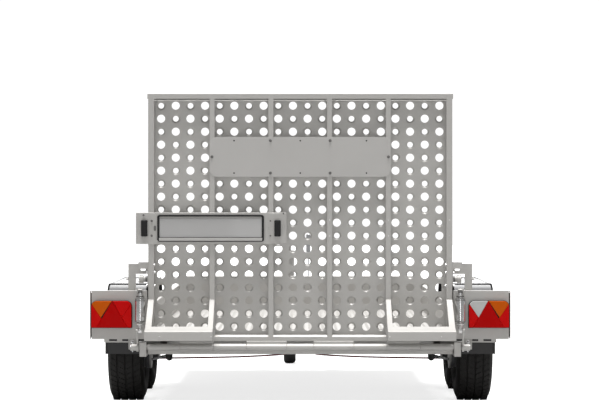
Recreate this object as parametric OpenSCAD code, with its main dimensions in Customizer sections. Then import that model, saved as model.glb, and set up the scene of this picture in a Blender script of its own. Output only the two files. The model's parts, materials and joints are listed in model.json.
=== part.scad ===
// Tandem-axle machinery trailer: low sheet-walled deck, full-width loading ramp
// that stands upright at the back, V drawbar with overrun coupling and jockey wheel.
// +Y is forwards, +Z is up, the ground is z = 0 and the trailer's middle is x = y = 0.

/* [Deck] */
// Length of the deck floor
deck_len = 3000; // [2400:50:4000]
// Width over the side members
deck_w = 1530; // [1400:10:1800]
// Height of the floor's top face above the ground
deck_h = 400; // [380:5:440]
// Thickness of the floor sheet
floor_t = 4; // [3:1:8]
// Height of the side walls above the floor
wall_h = 150; // [80:10:300]
// Height of the front board above the floor
front_h = 200; // [100:10:500]
// Sheet thickness of walls, boxes and brackets
sheet_t = 4; // [3:1:6]

/* [Chassis] */
// Height of the side members
member_h = 80; // [60:5:110]
// Width of the side members
member_w = 60; // [40:5:80]
// Number of cross members
cross_n = 5; // [3:1:8]
// Height of the rear beam
beam_h = 40; // [30:2:60]
// Depth of the rear beam
beam_d = 50; // [40:5:80]

/* [Drawbar] */
// Distance from the deck's front edge to the coupling's nose
drawbar_reach = 1390; // [1200:10:1700]
// Width of a drawbar beam
bar_w = 50; // [40:5:70]
// Height of a drawbar beam
bar_h = 80; // [60:5:120]
// Radius of the overrun housing
housing_r = 35; // [30:1:45]
// Radius of the tow ball that the coupling takes
ball_r = 25; // [25:1:40]

/* [Wheels] */
// Outside diameter of the tyres
tyre_d = 570; // [500:5:620]
// Width of the tyres
tyre_w = 194; // [155:1:205]
// Diameter of the rim where the tyre sits
rim_d = 330; // [254:2:356]
// Distance between the two axles
axle_pitch = 710; // [680:5:800]
// Distance from the ramp to the rear axle
axle_back = 940; // [850:10:1100]
// Track, between the middles of the tyres
track = 1858; // [1800:2:2140]

/* [Mudguards] */
// Length of a mudguard
guard_len = 1500; // [1450:10:1700]
// Width of a mudguard
guard_w = 212; // [200:2:240]
// Height of the mudguard's top above the ground
guard_top = 638; // [620:2:700]
// Height of the mudguard's lower ends above the ground
guard_low = 276; // [230:2:320]
// Radius of the mudguard's corners
guard_r = 240; // [150:10:300]

/* [Ramp] */
// Width of the ramp
ramp_w = 1524; // [1300:2:1790]
// Height of the ramp's top above the hinge axis
ramp_h = 1270; // [900:10:1500]
// Depth of the ramp's ribs
ramp_t = 40; // [30:1:60]
// Width of the outer stiles
stile_w = 30; // [25:1:50]
// Width of the ribs between the perforated sheets
rib_w = 26; // [20:1:40]
// Number of perforated sheets side by side
bay_n = 5; // [3:1:7]
// Columns of holes in each sheet
hole_cols = 4; // [3:1:5]
// Distance between the rows of holes
row_pitch = 65.3; // [58:0.1:90]
// Distance between the columns of holes
col_pitch = 73.6; // [60:0.1:90]
// Diameter of a plain hole
hole_d = 41; // [30:1:44]
// Diameter of the opening in a flanged hole
flange_d = 29; // [20:1:34]
// How far the prop feet stand out behind the ramp
foot_reach = 290; // [200:5:320]

/* [Hinge] */
// Height of the ramp's hinge axis above the ground
hinge_h = 348; // [330:2:380]
// How far the hinge axis lies behind the ramp's rear face
hinge_back = 10; // [5:1:20]
// Radius of the hinge knuckles
knuckle_r = 18; // [15:1:24]
// Radius of the hinge shaft
shaft_r = 12.5; // [8:0.5:14]
// Radial clearance of a turning fit
fit_c = 0.05; // [0.02:0.01:0.1]

/* [Lamp boxes] */
// Width over the two lamp boxes
overall_w = 2108; // [2060:2:2400]
// Height of a lamp box
box_h = 243; // [200:1:300]
// Height of a lamp box's lower edge above the ground
box_low = 388; // [370:2:420]
// Width of a rear lamp
lamp_w = 200; // [150:1:240]
// Height of a rear lamp
lamp_h = 133; // [100:1:160]

/* [Jockey wheel] */
// Diameter of the jockey wheel
jockey_d = 220; // [180:5:260]
// Width of the jockey wheel
jockey_w = 80; // [50:2:90]
// Radius of the jockey's outer tube
jockey_r = 30; // [24:1:35]
// Sideways distance of the jockey from the trailer's middle
jockey_x = 70; // [66:1:120]
// Trail of the jockey wheel behind its swivel
jockey_trail = 48; // [20:1:70]

/* [Hidden] */
$fn = 64;

galvanised = [0.72, 0.72, 0.71];
black = [0.1, 0.1, 0.1];
LEFT = -1;
RIGHT = 1;

// Fore and aft places, all tied to the ramp's rear face
deck_start = ramp_t + 8;
overall_len = foot_reach + deck_start + deck_len + drawbar_reach;
ramp_y = foot_reach - overall_len / 2;
deck_y = ramp_y + deck_start;
front_y = deck_y + deck_len;
nose_y = overall_len / 2;
hinge_y = ramp_y - hinge_back;
rear_axle_y = ramp_y + axle_back;
front_axle_y = rear_axle_y + axle_pitch;
beam_y = hinge_y + knuckle_r + 2;
wheel_r = tyre_d / 2;
half_w = deck_w / 2;
half_ramp = ramp_w / 2;
member_top = deck_h - floor_t;
member_low = member_top - member_h;
beam_top = hinge_h + 4;

// Shared shapes

// A box from its lowest and highest corners
module block(lo, hi) {
    translate(lo) cube(hi - lo);
}

// A part drawn for the right-hand side, put on one side
module on_side(side) {
    if (side == RIGHT) children();
    else mirror([1, 0, 0]) children();
}

module both_sides() {
    on_side(LEFT) children();
    on_side(RIGHT) children();
}

// A round bar along X from x0 to x1
module rod_x(x0, x1, r) {
    translate([x0, 0, 0]) rotate([0, 90, 0]) cylinder(h = x1 - x0, r = r);
}

// A round bar along Y from y0 to y1
module rod_y(y0, y1, r) {
    translate([0, y0, 0]) rotate([-90, 0, 0]) cylinder(h = y1 - y0, r = r);
}

// A plate in the X-Z plane from an outline of x and z, its rear face at y
module plate_xz(y, t) {
    translate([0, y + t, 0]) rotate([90, 0, 0]) linear_extrude(t) children();
}

// A plate in the Y-Z plane from an outline of y and z, its inner face at x
module plate_yz(x, t) {
    translate([x, 0, 0]) rotate([90, 0, 90]) linear_extrude(t) children();
}

// A rectangle with round corners, centred
module round_rect(size, r) {
    square([size.x - 2 * r, size.y], center = true);
    square([size.x, size.y - 2 * r], center = true);
    for (sx = [-1, 1], sy = [-1, 1])
        translate([sx * (size.x / 2 - r), sy * (size.y / 2 - r)]) circle(r);
}

// An oblong hole, centred
module oblong(size) {
    square([size.x - size.y, size.y], center = true);
    for (s = [-1, 1]) translate([s * (size.x - size.y) / 2, 0]) circle(d = size.y);
}

// Chassis

module side_member(side) {
    color(galvanised) on_side(side) difference() {
        block([half_w - member_w, beam_y + beam_d, member_low], [half_w, front_y, member_top]);
        block([half_w - member_w - 1, beam_y + beam_d - 1, member_low + sheet_t],
              [half_w - sheet_t, front_y + 1, member_top - sheet_t]);
    }
}

cross_w = 40;
cross_step = (deck_len - cross_w - beam_y - beam_d + deck_y) / cross_n;

module cross_members() {
    color(galvanised) for (i = [1:cross_n]) translate([0, beam_y + beam_d + i * cross_step, 0])
        block([-half_w + member_w, 0, member_low], [half_w - member_w, cross_w, member_top]);
}

// Half-widths at which the hinge knuckles begin and end, from the middle out
knuckle_edges = [66, 270, 432, 603, half_ramp];
knuckle_gap = 1.5;

// A knuckle with its bore, and a foot that joins it to the beam
module frame_knuckle(x0, x1) {
    translate([0, hinge_y, hinge_h]) difference() {
        union() {
            rod_x(x0, x1, knuckle_r);
            block([x0, 0, -knuckle_r], [x1, knuckle_r + 2, 0]);
        }
        rod_x(x0 - 1, x1 + 1, shaft_r + fit_c);
    }
}

module rear_beam() {
    color(galvanised) {
        block([-half_w, beam_y, beam_top - beam_h], [half_w, beam_y + beam_d, beam_top]);
        frame_knuckle(-knuckle_edges[0], knuckle_edges[0]);
        both_sides() {
            frame_knuckle(knuckle_edges[1], knuckle_edges[2]);
            frame_knuckle(knuckle_edges[3], knuckle_edges[4]);
            block([half_w - member_w, deck_y, beam_top], [half_w, beam_y + beam_d, member_top]);
        }
    }
}

module floor_sheet() {
    color("gainsboro") block([-half_w + sheet_t, deck_y, member_top], [half_w - sheet_t, front_y, deck_h]);
}

// Low wall with a folded top rail, standing on the side member
rail_w = 30;

module side_wall(side) {
    color(galvanised) on_side(side) {
        block([half_w - sheet_t, deck_y, member_top], [half_w, front_y, deck_h + wall_h]);
        block([half_w - sheet_t, deck_y, deck_h + wall_h - rail_w],
              [half_w - sheet_t + rail_w, front_y, deck_h + wall_h]);
    }
}

module front_board() {
    color(galvanised) {
        block([-half_w, front_y, member_low], [half_w, front_y + sheet_t, deck_h + front_h]);
        block([-half_w, front_y, deck_h + front_h - rail_w],
              [half_w, front_y + rail_w, deck_h + front_h]);
    }
}

// Rear corners

bearing_w = 33;
bearing_x = half_w + 5;
post_x = [half_w + 61, half_w + 100];
post_top = deck_h + 365;
post_y = ramp_y + ramp_t + 2;
arm_low = post_top - 52;
bolt_h = hinge_h + 340;
outrigger_y = beam_y + beam_d;

// Bearing block for the hinge shaft, outrigger, post and the catch arm on top of it
module rear_post(side) {
    color(galvanised) on_side(side) {
        difference() {
            block([bearing_x, hinge_y - 20, hinge_h - 46], [bearing_x + bearing_w, outrigger_y + 40, hinge_h + 24]);
            translate([0, hinge_y, hinge_h]) rod_x(bearing_x - 1, bearing_x + bearing_w + 1, shaft_r + fit_c);
        }
        block([half_w, outrigger_y, hinge_h - 16], [post_x[1], outrigger_y + 40, hinge_h + 24]);
        difference() {
            plate_xz(post_y, 6) union() {
                translate([post_x[0], hinge_h + 24]) square([post_x[1] - post_x[0], post_top - hinge_h - 24]);
                translate([half_ramp + 5, arm_low]) square([post_x[1] - half_ramp - 5, post_top - arm_low]);
            }
            plate_xz(post_y - 1, 8) translate([790, arm_low + 22]) oblong([26, 9]);
        }
        block([post_x[1] - 6, post_y, hinge_h + 24], [post_x[1], outrigger_y + 40, bolt_h + 40]);
        translate([0, post_y + 18, bolt_h]) rod_x(post_x[1] - 1, post_x[1] + 12, 5);
    }
}

lamp_x = [overall_w / 2 - 10 - lamp_w, overall_w / 2 - 10];
shelf_x = [half_w + 51, half_w + 221];

// Sheet box, open at the front, with a slotted shelf plate below it
module lamp_box(side) {
    box_x = [half_ramp + 6, overall_w / 2];
    color(galvanised) on_side(side) {
        difference() {
            block([box_x[0], ramp_y, box_low], [box_x[1], post_y, box_low + box_h]);
            block([box_x[0] + sheet_t, ramp_y + sheet_t, box_low + sheet_t],
                  [box_x[1] - sheet_t, post_y + 1, box_low + box_h - sheet_t]);
        }
        difference() {
            block([shelf_x[0], post_y - sheet_t, box_low - 19], [shelf_x[1], post_y, box_low + 10]);
            for (x = [half_w + 110, half_w + 176]) plate_xz(post_y - sheet_t - 1, sheet_t + 2)
                translate([x, box_low - 6]) oblong([40, 12]);
        }
    }
}

lamp_t = 30;
lamp_low = box_low + 59;

// Rear lamps: square lower corners, round upper corners
module rear_lamps() {
    color("red") both_sides() plate_xz(ramp_y - lamp_t, lamp_t)
        translate([(lamp_x[0] + lamp_x[1]) / 2, lamp_low + lamp_h / 2]) {
            round_rect([lamp_w, lamp_h], 28);
            translate([-lamp_w / 2, -lamp_h / 2]) square([lamp_w, lamp_h / 2]);
        }
}

// Mudguards

guard_t = 4;
guard_x = track / 2 - tyre_w / 2 - 20;
guard_mid = (rear_axle_y + front_axle_y) / 2;

// Arch outline in Y and Z, drawn `grow` inside the outer face
module arch(grow) {
    w = guard_len - 2 * grow;
    r = guard_r - grow;
    top = guard_top - grow;
    translate([guard_mid - w / 2, guard_low - 1]) square([w, top - r - guard_low + 1]);
    translate([guard_mid - w / 2 + r, guard_low]) square([w - 2 * r, top - guard_low]);
    for (s = [-1, 1]) translate([guard_mid + s * (w / 2 - r), top - r]) circle(r);
}

// What is cut away under the mudguards' lower ends
module below_guard() {
    translate([guard_mid - guard_len, guard_low - guard_r]) square([2 * guard_len, guard_r]);
}

module mudguard(side) {
    rim = 12;
    color(black) on_side(side) {
        plate_yz(guard_x, guard_w) difference() {
            arch(guard_t);
            arch(2 * guard_t);
            below_guard();
        }
        for (x = [guard_x, guard_x + guard_w - guard_t]) plate_yz(x, guard_t) difference() {
            arch(0);
            arch(2 * guard_t + rim);
            below_guard();
        }
    }
}

// Stays from the side members and the top rails to the mudguards' inner skirts
module mudguard_stays() {
    end_y = guard_len / 2 - 10;
    color(galvanised) both_sides() {
        for (y = [guard_mid - end_y, guard_mid + end_y])
            block([half_w, y - 7, member_low + 10], [guard_x, y + 7, member_top - 10]);
        block([half_w - sheet_t + rail_w, guard_mid - 25, deck_h + wall_h - rail_w + 2],
              [half_w - sheet_t + rail_w + 5, guard_mid + 25, guard_top - 6]);
        block([half_w - sheet_t + rail_w, guard_mid - 25, guard_top - 11], [guard_x, guard_mid + 25, guard_top - 6]);
    }
}

// Axles and wheels

tube_s = 64;
arm_reach = 150;
arm_x = 792;
hub_x = track / 2;
stub_r = 20;
disc_x = hub_x + 10;

module axle(y) {
    color(galvanised) {
        block([-arm_x, y + arm_reach - tube_s / 2, member_low - tube_s], [arm_x, y + arm_reach + tube_s / 2, member_low]);
    }
}

// Trailing arm, stub axle and brake back plate at each wheel
module swing_arm(y) {
    tube_z = member_low - tube_s / 2;
    rise = atan2(wheel_r - tube_z, -arm_reach);
    both_sides() {
        translate([0, y + arm_reach, tube_z]) {
            rod_x(arm_x, arm_x + 14, 34);
            rotate([rise, 0, 0]) block([arm_x, 0, -20], [arm_x + 14, arm_reach, 20]);
        }
        translate([0, y, wheel_r]) {
            rod_x(arm_x, arm_x + 14, 34);
            rod_x(arm_x + 14, arm_x + 18, 112);
            rod_x(arm_x + 14, disc_x - 20, stub_r);
        }
    }
}

module swing_arms() {
    color(galvanised) {
        swing_arm(rear_axle_y);
        swing_arm(front_axle_y);
    }
}

// Rim, disc and brake drum, turning on the stub axle
module wheel(side, y) {
    drum_x = arm_x + 20;
    rim_w = 140;
    rim_r = rim_d / 2;
    color("silver") on_side(side) translate([0, y, wheel_r]) {
        difference() {
            rod_x(hub_x - rim_w / 2, hub_x + rim_w / 2, rim_r);
            rod_x(hub_x - rim_w / 2 - 1, hub_x + rim_w / 2 + 1, rim_r - 8);
        }
        rod_x(disc_x - 4, disc_x + 4, rim_r - 4);
        rod_x(disc_x, disc_x + 40, 42);
        difference() {
            rod_x(drum_x, disc_x, 110);
            rod_x(drum_x - 1, disc_x - 16, stub_r + fit_c);
        }
    }
}

// Tyre section: radius against width, with a round shoulder on each side
module tyre(side, y) {
    shoulder = 26;
    wall_w = tyre_w / 2;
    color(black) on_side(side) translate([hub_x, y, wheel_r]) rotate([0, 90, 0]) rotate_extrude($fn = 96)
        difference() {
            union() {
                translate([rim_d / 2, -wall_w + shoulder]) square([wheel_r - rim_d / 2, tyre_w - 2 * shoulder]);
                translate([rim_d / 2 + 20, -wall_w]) square([wheel_r - rim_d / 2 - 20 - shoulder, tyre_w]);
                for (s = [-1, 1]) {
                    translate([wheel_r - shoulder, s * (wall_w - shoulder)]) circle(shoulder);
                    translate([rim_d / 2 + shoulder, s * (wall_w - shoulder)]) circle(shoulder);
                }
            }
            translate([0, -tyre_w]) square([rim_d / 2, 2 * tyre_w]);
        }
}

// Drawbar, coupling and jockey

bar_top = member_low;
bar_back = [half_w - 145, front_axle_y + arm_reach + 260];
bar_front = [52, front_y + 470];
housing_z = bar_top + housing_r + 20;
housing_y = [bar_front.y - 260, bar_front.y + 480];
ball_y = nose_y - 80;

module drawbar(side) {
    run = bar_front - bar_back;
    color(galvanised) on_side(side) translate([bar_back.x, bar_back.y, bar_top - bar_h])
        rotate([0, 0, atan2(-run.x, run.y)]) translate([-bar_w / 2, 0, 0]) cube([bar_w, norm(run), bar_h]);
}

module overrun_housing() {
    color(galvanised) {
        translate([0, 0, housing_z]) rod_y(housing_y[0], housing_y[1], housing_r);
        for (y = [housing_y[0] + 20, bar_front.y - 60])
            block([-85, y, bar_top], [85, y + 50, housing_z]);
    }
}

// Rubber bellows between the housing and the coupling head
module gaiter() {
    ring = (ball_y - 70 - housing_y[1]) / 5;
    color(black) translate([0, 0, housing_z]) {
        rod_y(housing_y[1], ball_y - 70, housing_r - 5);
        for (i = [0:4]) rod_y(housing_y[1] + ring * (i + 0.25), housing_y[1] + ring * (i + 0.75), housing_r + 5);
    }
}

// Ball socket over the tow ball, open below, with its handle on top
module coupling_head() {
    socket_r = ball_r + 0.3;
    color("dimgray") difference() {
        union() {
            translate([0, 0, housing_z]) rod_y(ball_y - 70, ball_y, 30);
            translate([0, ball_y, housing_z - 22]) cylinder(h = 60, r = 42);
            block([-42, ball_y, housing_z - 22], [42, ball_y + 45, housing_z + 20]);
            translate([0, ball_y + 45, housing_z - 22]) cylinder(h = 42, r = 35);
            block([-16, ball_y - 190, housing_z + 48], [16, ball_y + 10, housing_z + 62]);
            block([-12, ball_y - 30, housing_z + 20], [12, ball_y + 10, housing_z + 50]);
        }
        translate([0, ball_y, housing_z]) sphere(socket_r);
        translate([0, ball_y, housing_z - 31]) cylinder(h = 31, r = socket_r);
    }
}

module handbrake_lever() {
    lever_y = housing_y[0] + 330;
    color("dimgray") {
        difference() {
            block([housing_r - 8, lever_y - 30, housing_z - 10], [housing_r + 14, lever_y + 30, housing_z + 60]);
            translate([0, 0, housing_z]) rod_y(lever_y - 31, lever_y + 31, housing_r);
        }
        translate([housing_r + 14, lever_y, housing_z + 30]) rotate([-14, 0, 0]) block([0, -14, -20], [8, 14, 360]);
    }
    color(black) translate([housing_r + 18, lever_y, housing_z + 30]) rotate([-14, 0, 0])
        translate([0, 0, 345]) cylinder(h = 120, r = 15);
}

jockey_y = bar_front.y + 190;
tube_low = bar_top + 14;
tube_top = tube_low + 420;
leg_r = jockey_r - 4;
crown_z = jockey_d + 22;
jockey_axle_y = jockey_y - jockey_trail;

module jockey_clamp() {
    color(galvanised) difference() {
        block([-jockey_x - jockey_r - 14, jockey_y - 38, housing_z - 30], [0, jockey_y + 38, housing_z + 30]);
        translate([-jockey_x, jockey_y, housing_z - 31]) cylinder(h = 62, r = jockey_r);
        translate([0, 0, housing_z]) rod_y(jockey_y - 39, jockey_y + 39, housing_r);
        block([-jockey_r + 2, jockey_y - 39, housing_z - 31], [1, jockey_y + 39, housing_z + 31]);
    }
}

// Outer tube with its crank on top
module jockey_tube() {
    color(galvanised) translate([-jockey_x, jockey_y, 0]) {
        difference() {
            translate([0, 0, tube_low]) cylinder(h = tube_top - tube_low, r = jockey_r);
            translate([0, 0, tube_low - 1]) cylinder(h = tube_top - tube_low - 19, r = leg_r + fit_c);
        }
        translate([0, 0, tube_top]) cylinder(h = 26, r = 10);
        block([-120, -8, tube_top + 26], [12, 8, tube_top + 34]);
    }
    color(black) translate([-jockey_x - 108, jockey_y, tube_top + 34]) cylinder(h = 80, r = 12);
}

module jockey_leg() {
    color("silver") translate([-jockey_x, jockey_y, crown_z + 8]) cylinder(h = tube_top - 150 - crown_z, r = leg_r);
}

module jockey_fork() {
    cheek_x = jockey_w / 2 + 6;
    color(galvanised) translate([-jockey_x, 0, 0]) {
        block([-cheek_x - 5, jockey_y - 45, crown_z], [cheek_x + 5, jockey_y + 32, crown_z + 7.7]);
        for (s = [-1, 1]) translate([s * (cheek_x + 2.5) - 2.5, 0, 0])
            block([0, jockey_axle_y - 22, jockey_d / 2 - 20], [5, jockey_axle_y + 40, crown_z]);
        translate([0, jockey_axle_y, jockey_d / 2]) rod_x(-cheek_x - 8, cheek_x + 8, 8);
    }
}

module jockey_wheel() {
    color(black) translate([-jockey_x, jockey_axle_y, jockey_d / 2]) difference() {
        union() {
            rod_x(-jockey_w / 2 + 8, jockey_w / 2 - 8, jockey_d / 2);
            rod_x(-jockey_w / 2, jockey_w / 2, jockey_d / 2 - 14);
        }
        rod_x(-jockey_w, jockey_w, 8 + fit_c);
    }
}

// Small chassis parts

cable_r = 4.5;
// Brake cable from a hub to the middle and forward, in x, y from its axle, and z
cable_route = [[786, -20, 228], [740, 14, 226], [640, 30, 226], [500, 36, 228], [340, 40, 231],
               [200, 44, 237], [120, 60, 241], [84, 110, 242], [78, 180, 242], [76, 240, 241]];

function unit(v) = v / norm(v);
function heading(path, i) = unit(path[min(i + 1, len(path) - 1)] - path[max(i - 1, 0)]);

// Round tube swept along a path of points
module swept(path, r, sides = 8) {
    n = len(path);
    rings = [for (i = [0:n - 1]) let (t = heading(path, i), u = unit(cross(t, [0, 0, 1])), v = cross(u, t))
        for (k = [0:sides - 1]) path[i] + r * (u * cos(360 * k / sides) + v * sin(360 * k / sides))];
    walls = [for (i = [0:n - 2], k = [0:sides - 1]) let (m = (k + 1) % sides)
        [i * sides + k, i * sides + m, (i + 1) * sides + m, (i + 1) * sides + k]];
    ends = [[for (k = [sides - 1:-1:0]) k], [for (k = [0:sides - 1]) (n - 1) * sides + k]];
    polyhedron(rings, concat(walls, ends));
}

module brake_cables() {
    color([0.45, 0.08, 0.06]) both_sides()
        swept([for (p = cable_route) [p.x, rear_axle_y + p.y, p.z]], cable_r);
}

buffer_y = beam_y + beam_d + cross_step;

// Rubber buffers on brackets under the first cross member
module buffers() {
    color(black) both_sides() translate([695, buffer_y + cross_w / 2, 0]) {
        translate([0, 0, 250]) cylinder(h = member_low - 250, r = 18);
        translate([0, 0, 250]) sphere(18);
    }
}

eye_t = 8;
eye_r = 13;
eye_reach = 44;
eye_y = [deck_y + 150, deck_y + deck_len / 2, front_y - 150];

// Lashing eyes: level plates with a round hole, welded inside the side walls' top edge
module lashing_eyes() {
    color(galvanised) both_sides() for (y = eye_y) translate([half_w - sheet_t, y, deck_h + wall_h - eye_t])
        difference() {
            block([-eye_reach, -28, 0], [0, 28, eye_t]);
            translate([-24, 0, -1]) cylinder(h = eye_t + 2, r = eye_r);
        }
}

// Ramp

ramp_low = hinge_h + 30;
ramp_top = hinge_h + ramp_h;
sheet_y = ramp_y + ramp_t - 3;
bay_step = hole_cols * col_pitch;
hole_n = floor((ramp_top - ramp_low - 70) / row_pitch);
hole_low = (ramp_top + ramp_low - (hole_n - 1) * row_pitch) / 2 + 8;

// Middle of the rib on the left of sheet i; the outer sheets run on to the stiles
function rib_x(i) = (i - bay_n / 2) * bay_step;
function sheet_x(i) = i == 0 ? -half_ramp + stile_w : rib_x(i) + rib_w / 2;

// Knuckle that turns with the ramp, and the tab that joins it to the bottom bar
module ramp_knuckle(x0, x1) {
    difference() {
        union() {
            translate([0, hinge_y, hinge_h]) rod_x(x0, x1, knuckle_r - 2);
            block([x0, hinge_y + 3, hinge_h], [x1, hinge_y + 13, ramp_low]);
        }
        translate([0, hinge_y, hinge_h]) rod_x(x0 - 1, x1 + 1, shaft_r);
    }
}

module ramp_frame() {
    color(galvanised) {
        for (x = [-half_ramp, half_ramp - stile_w]) block([x, ramp_y, ramp_low], [x + stile_w, ramp_y + ramp_t, ramp_top]);
        for (i = [1:bay_n - 1]) block([rib_x(i) - rib_w / 2, ramp_y, ramp_low], [rib_x(i) + rib_w / 2, sheet_y, ramp_top]);
        block([-half_ramp, ramp_y, ramp_low], [half_ramp, ramp_y + ramp_t, ramp_low + 22]);
        block([-half_ramp - 4, ramp_y, ramp_top - 26], [half_ramp + 4, ramp_y + ramp_t, ramp_top]);
        both_sides() {
            ramp_knuckle(knuckle_edges[0] + knuckle_gap, knuckle_edges[1] - knuckle_gap);
            ramp_knuckle(knuckle_edges[2] + knuckle_gap, knuckle_edges[3] - knuckle_gap);
        }
    }
}

// Perforated sheets: plain and flanged holes turn about
module ramp_sheets() {
    color(galvanised) for (i = [0:bay_n - 1]) difference() {
        block([sheet_x(i), sheet_y, ramp_low + 22], [-sheet_x(bay_n - 1 - i), sheet_y + 3, ramp_top - 26]);
        for (c = [0:hole_cols - 1], k = [0:hole_n - 1]) plate_xz(sheet_y - 1, 5)
            translate([rib_x(i) + (c + 0.5) * col_pitch, hole_low + k * row_pitch])
                circle(d = (c + k + i * hole_cols) % 2 == 0 ? hole_d : flange_d, $fn = 32);
    }
}

name_plate_z = ramp_top - 317;

module ramp_name_plate() {
    color("lightgray") plate_xz(ramp_y - 3, 3) translate([0, name_plate_z]) round_rect([908, 200], 38);
}

holder_x = [-half_ramp - 60, -half_ramp + 691];
holder_z = [ramp_top - 753, ramp_top - 596];
plate_mid = [(holder_x[0] + holder_x[1]) / 2, (holder_z[0] + holder_z[1]) / 2];

module plate_holder() {
    color(galvanised) {
        block([holder_x[0], ramp_y - 8, holder_z[0]], [holder_x[1], ramp_y - 4, holder_z[1]]);
        block([-half_ramp, ramp_y - 4, holder_z[0]], [-half_ramp + stile_w, ramp_y, holder_z[1]]);
        for (i = [1:2]) block([rib_x(i) - rib_w / 2, ramp_y - 4, holder_z[0]], [rib_x(i) + rib_w / 2, ramp_y, holder_z[1]]);
    }
}

// Black frame round the number plate and a lamp at each end of it
module plate_surround() {
    color(black) {
        plate_xz(ramp_y - 16, 8) translate([plate_mid[0] - 2, plate_mid[1]]) difference() {
            square([530, 130], center = true);
            square([514, 100], center = true);
        }
        for (s = [-1, 1]) block([plate_mid[0] + s * 333 - 16, ramp_y - 38, plate_mid[1] - 41],
                                [plate_mid[0] + s * 333 + 16, ramp_y - 8, plate_mid[1] + 41]);
    }
}

module number_plate() {
    color("white") translate([plate_mid[0] - 2, 0, plate_mid[1]]) block([-257, ramp_y - 12, -50], [257, ramp_y - 8, 50]);
}

foot_w = half_ramp + rib_x(1) + rib_w / 2;
foot_top = hinge_h + 94;
foot_low = foot_top - 45;
foot_t = 5;
foot_ridge = [ramp_y - 200, foot_top + 20];

// Prop foot: a folded shelf with a ridge, and two sloping channels up to the stile and first rib
module prop_feet() {
    edge_y = ramp_y - foot_reach;
    color(galvanised) both_sides() translate([half_ramp - foot_w, 0, 0]) {
        plate_yz(0, foot_w) polygon([
            [ramp_y, foot_top + 4], foot_ridge, [edge_y, foot_top], [edge_y, foot_low],
            [edge_y + foot_t, foot_low], [edge_y + foot_t, foot_top - foot_t],
            foot_ridge - [0, foot_t], [ramp_y, foot_top + 4 - foot_t]]);
        for (x = [[0, rib_w], [foot_w - stile_w, foot_w]]) plate_yz(x[0], x[1] - x[0]) polygon([
            [ramp_y, foot_top + 145], [ramp_y, foot_top + 110],
            foot_ridge + [18, -4], foot_ridge - [18, 5]]);
    }
}

// Spring bolts, drawn back, on brackets at the stiles
module latch_bolts() {
    color(galvanised) both_sides() {
        block([half_ramp, ramp_y + 5, bolt_h - 33], [half_ramp + 4, ramp_y + ramp_t - 2, bolt_h + 86]);
        block([half_ramp + 4, ramp_y + 5, bolt_h + 52], [half_ramp + 50, ramp_y + 10, bolt_h + 86]);
        translate([0, ramp_y + 22, bolt_h]) {
            rod_x(half_ramp + 4, half_ramp + 24, 14);
            rod_x(half_ramp + 24, half_ramp + 46, 20);
        }
    }
}

arm_end = bearing_x + bearing_w + 6;
pin_top = [35, 83];
lever_t = 10;

// Shaft through the knuckles and bearings, with a lever and collar outside each bearing
module hinge_shaft() {
    color(galvanised) translate([0, hinge_y, hinge_h]) {
        rod_x(-arm_end - 40, arm_end + 40, shaft_r);
        both_sides() {
            rod_x(arm_end + lever_t, arm_end + 40, 17);
            rod_x(arm_end, arm_end + lever_t, 22);
            translate([0, -pin_top[0], pin_top[1]]) rod_x(arm_end, arm_end + lever_t, 14);
            rotate([atan2(pin_top[0], pin_top[1]), 0, 0])
                block([arm_end + 1, -9, 0], [arm_end + lever_t - 1, 9, norm(pin_top)]);
        }
    }
}

// Spring canisters that help to lift the ramp

can_x = half_ramp + 37;
can_r = 25;
neck_r = 12;
can_top = [hinge_y - 22, box_low + box_h - 1];
can_low = [hinge_y - pin_top[0], hinge_h + pin_top[1]];
can_run = can_top - can_low;
can_lean = atan2(can_run.x, can_run.y);
can_gap = norm(can_run);
can_len = can_gap - 30;
can_start = 10;
rod_r = 8;

// Frame of a canister: its origin at the top eye and -Z along it
module canister_frame(side) {
    on_side(side) translate([can_x, can_top.x, can_top.y]) rotate([-can_lean, 0, 0]) children();
}

module canister(side) {
    color("silver") canister_frame(side) difference() {
        union() {
            rod_x(-12, 12, 14);
            translate([0, 0, -can_len]) cylinder(h = can_len - can_start, r = neck_r);
            translate([0, 0, -can_len + 12]) cylinder(h = can_len - 48, r = can_r);
        }
        translate([0, 0, -can_len - 1]) cylinder(h = can_len - can_start - 3, r = rod_r + fit_c);
        rod_x(-13, 13, 6 + fit_c);
    }
}

module canister_rod(side) {
    color("gray") canister_frame(side) {
        translate([0, 0, -can_gap]) cylinder(h = can_gap - can_start - 6, r = rod_r);
        translate([0, 0, -can_gap]) rod_x(-9, arm_end - can_x - 1, 13);
    }
}

// Pins and brackets that hold the canisters' top eyes to the lamp boxes
module canister_pins() {
    color(galvanised) both_sides() translate([can_x, can_top.x, can_top.y]) {
        rod_x(-12, 20, 6);
        block([13, -12, -10], [18, ramp_y - can_top.x, 12]);
    }
}

side_member(LEFT);  // side_member_left
side_member(RIGHT);  // side_member_right
cross_members();
rear_beam();
floor_sheet();
side_wall(LEFT);  // side_wall_left
side_wall(RIGHT);  // side_wall_right
front_board();
rear_post(LEFT);  // rear_post_left
rear_post(RIGHT);  // rear_post_right
lamp_box(LEFT);  // lamp_box_left
lamp_box(RIGHT);  // lamp_box_right
rear_lamps();
mudguard(LEFT);  // mudguard_left
mudguard(RIGHT);  // mudguard_right
mudguard_stays();
drawbar(LEFT);  // drawbar_left
drawbar(RIGHT);  // drawbar_right
overrun_housing();
gaiter();
coupling_head();
handbrake_lever();
jockey_clamp();
jockey_tube();
axle(rear_axle_y);  // axle_rear
axle(front_axle_y);  // axle_front
swing_arms();
brake_cables();
buffers();
lashing_eyes();
wheel(LEFT, rear_axle_y);  // wheel_rear_left
wheel(RIGHT, rear_axle_y);  // wheel_rear_right
wheel(LEFT, front_axle_y);  // wheel_front_left
wheel(RIGHT, front_axle_y);  // wheel_front_right
tyre(LEFT, rear_axle_y);  // tyre_rear_left
tyre(RIGHT, rear_axle_y);  // tyre_rear_right
tyre(LEFT, front_axle_y);  // tyre_front_left
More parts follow.
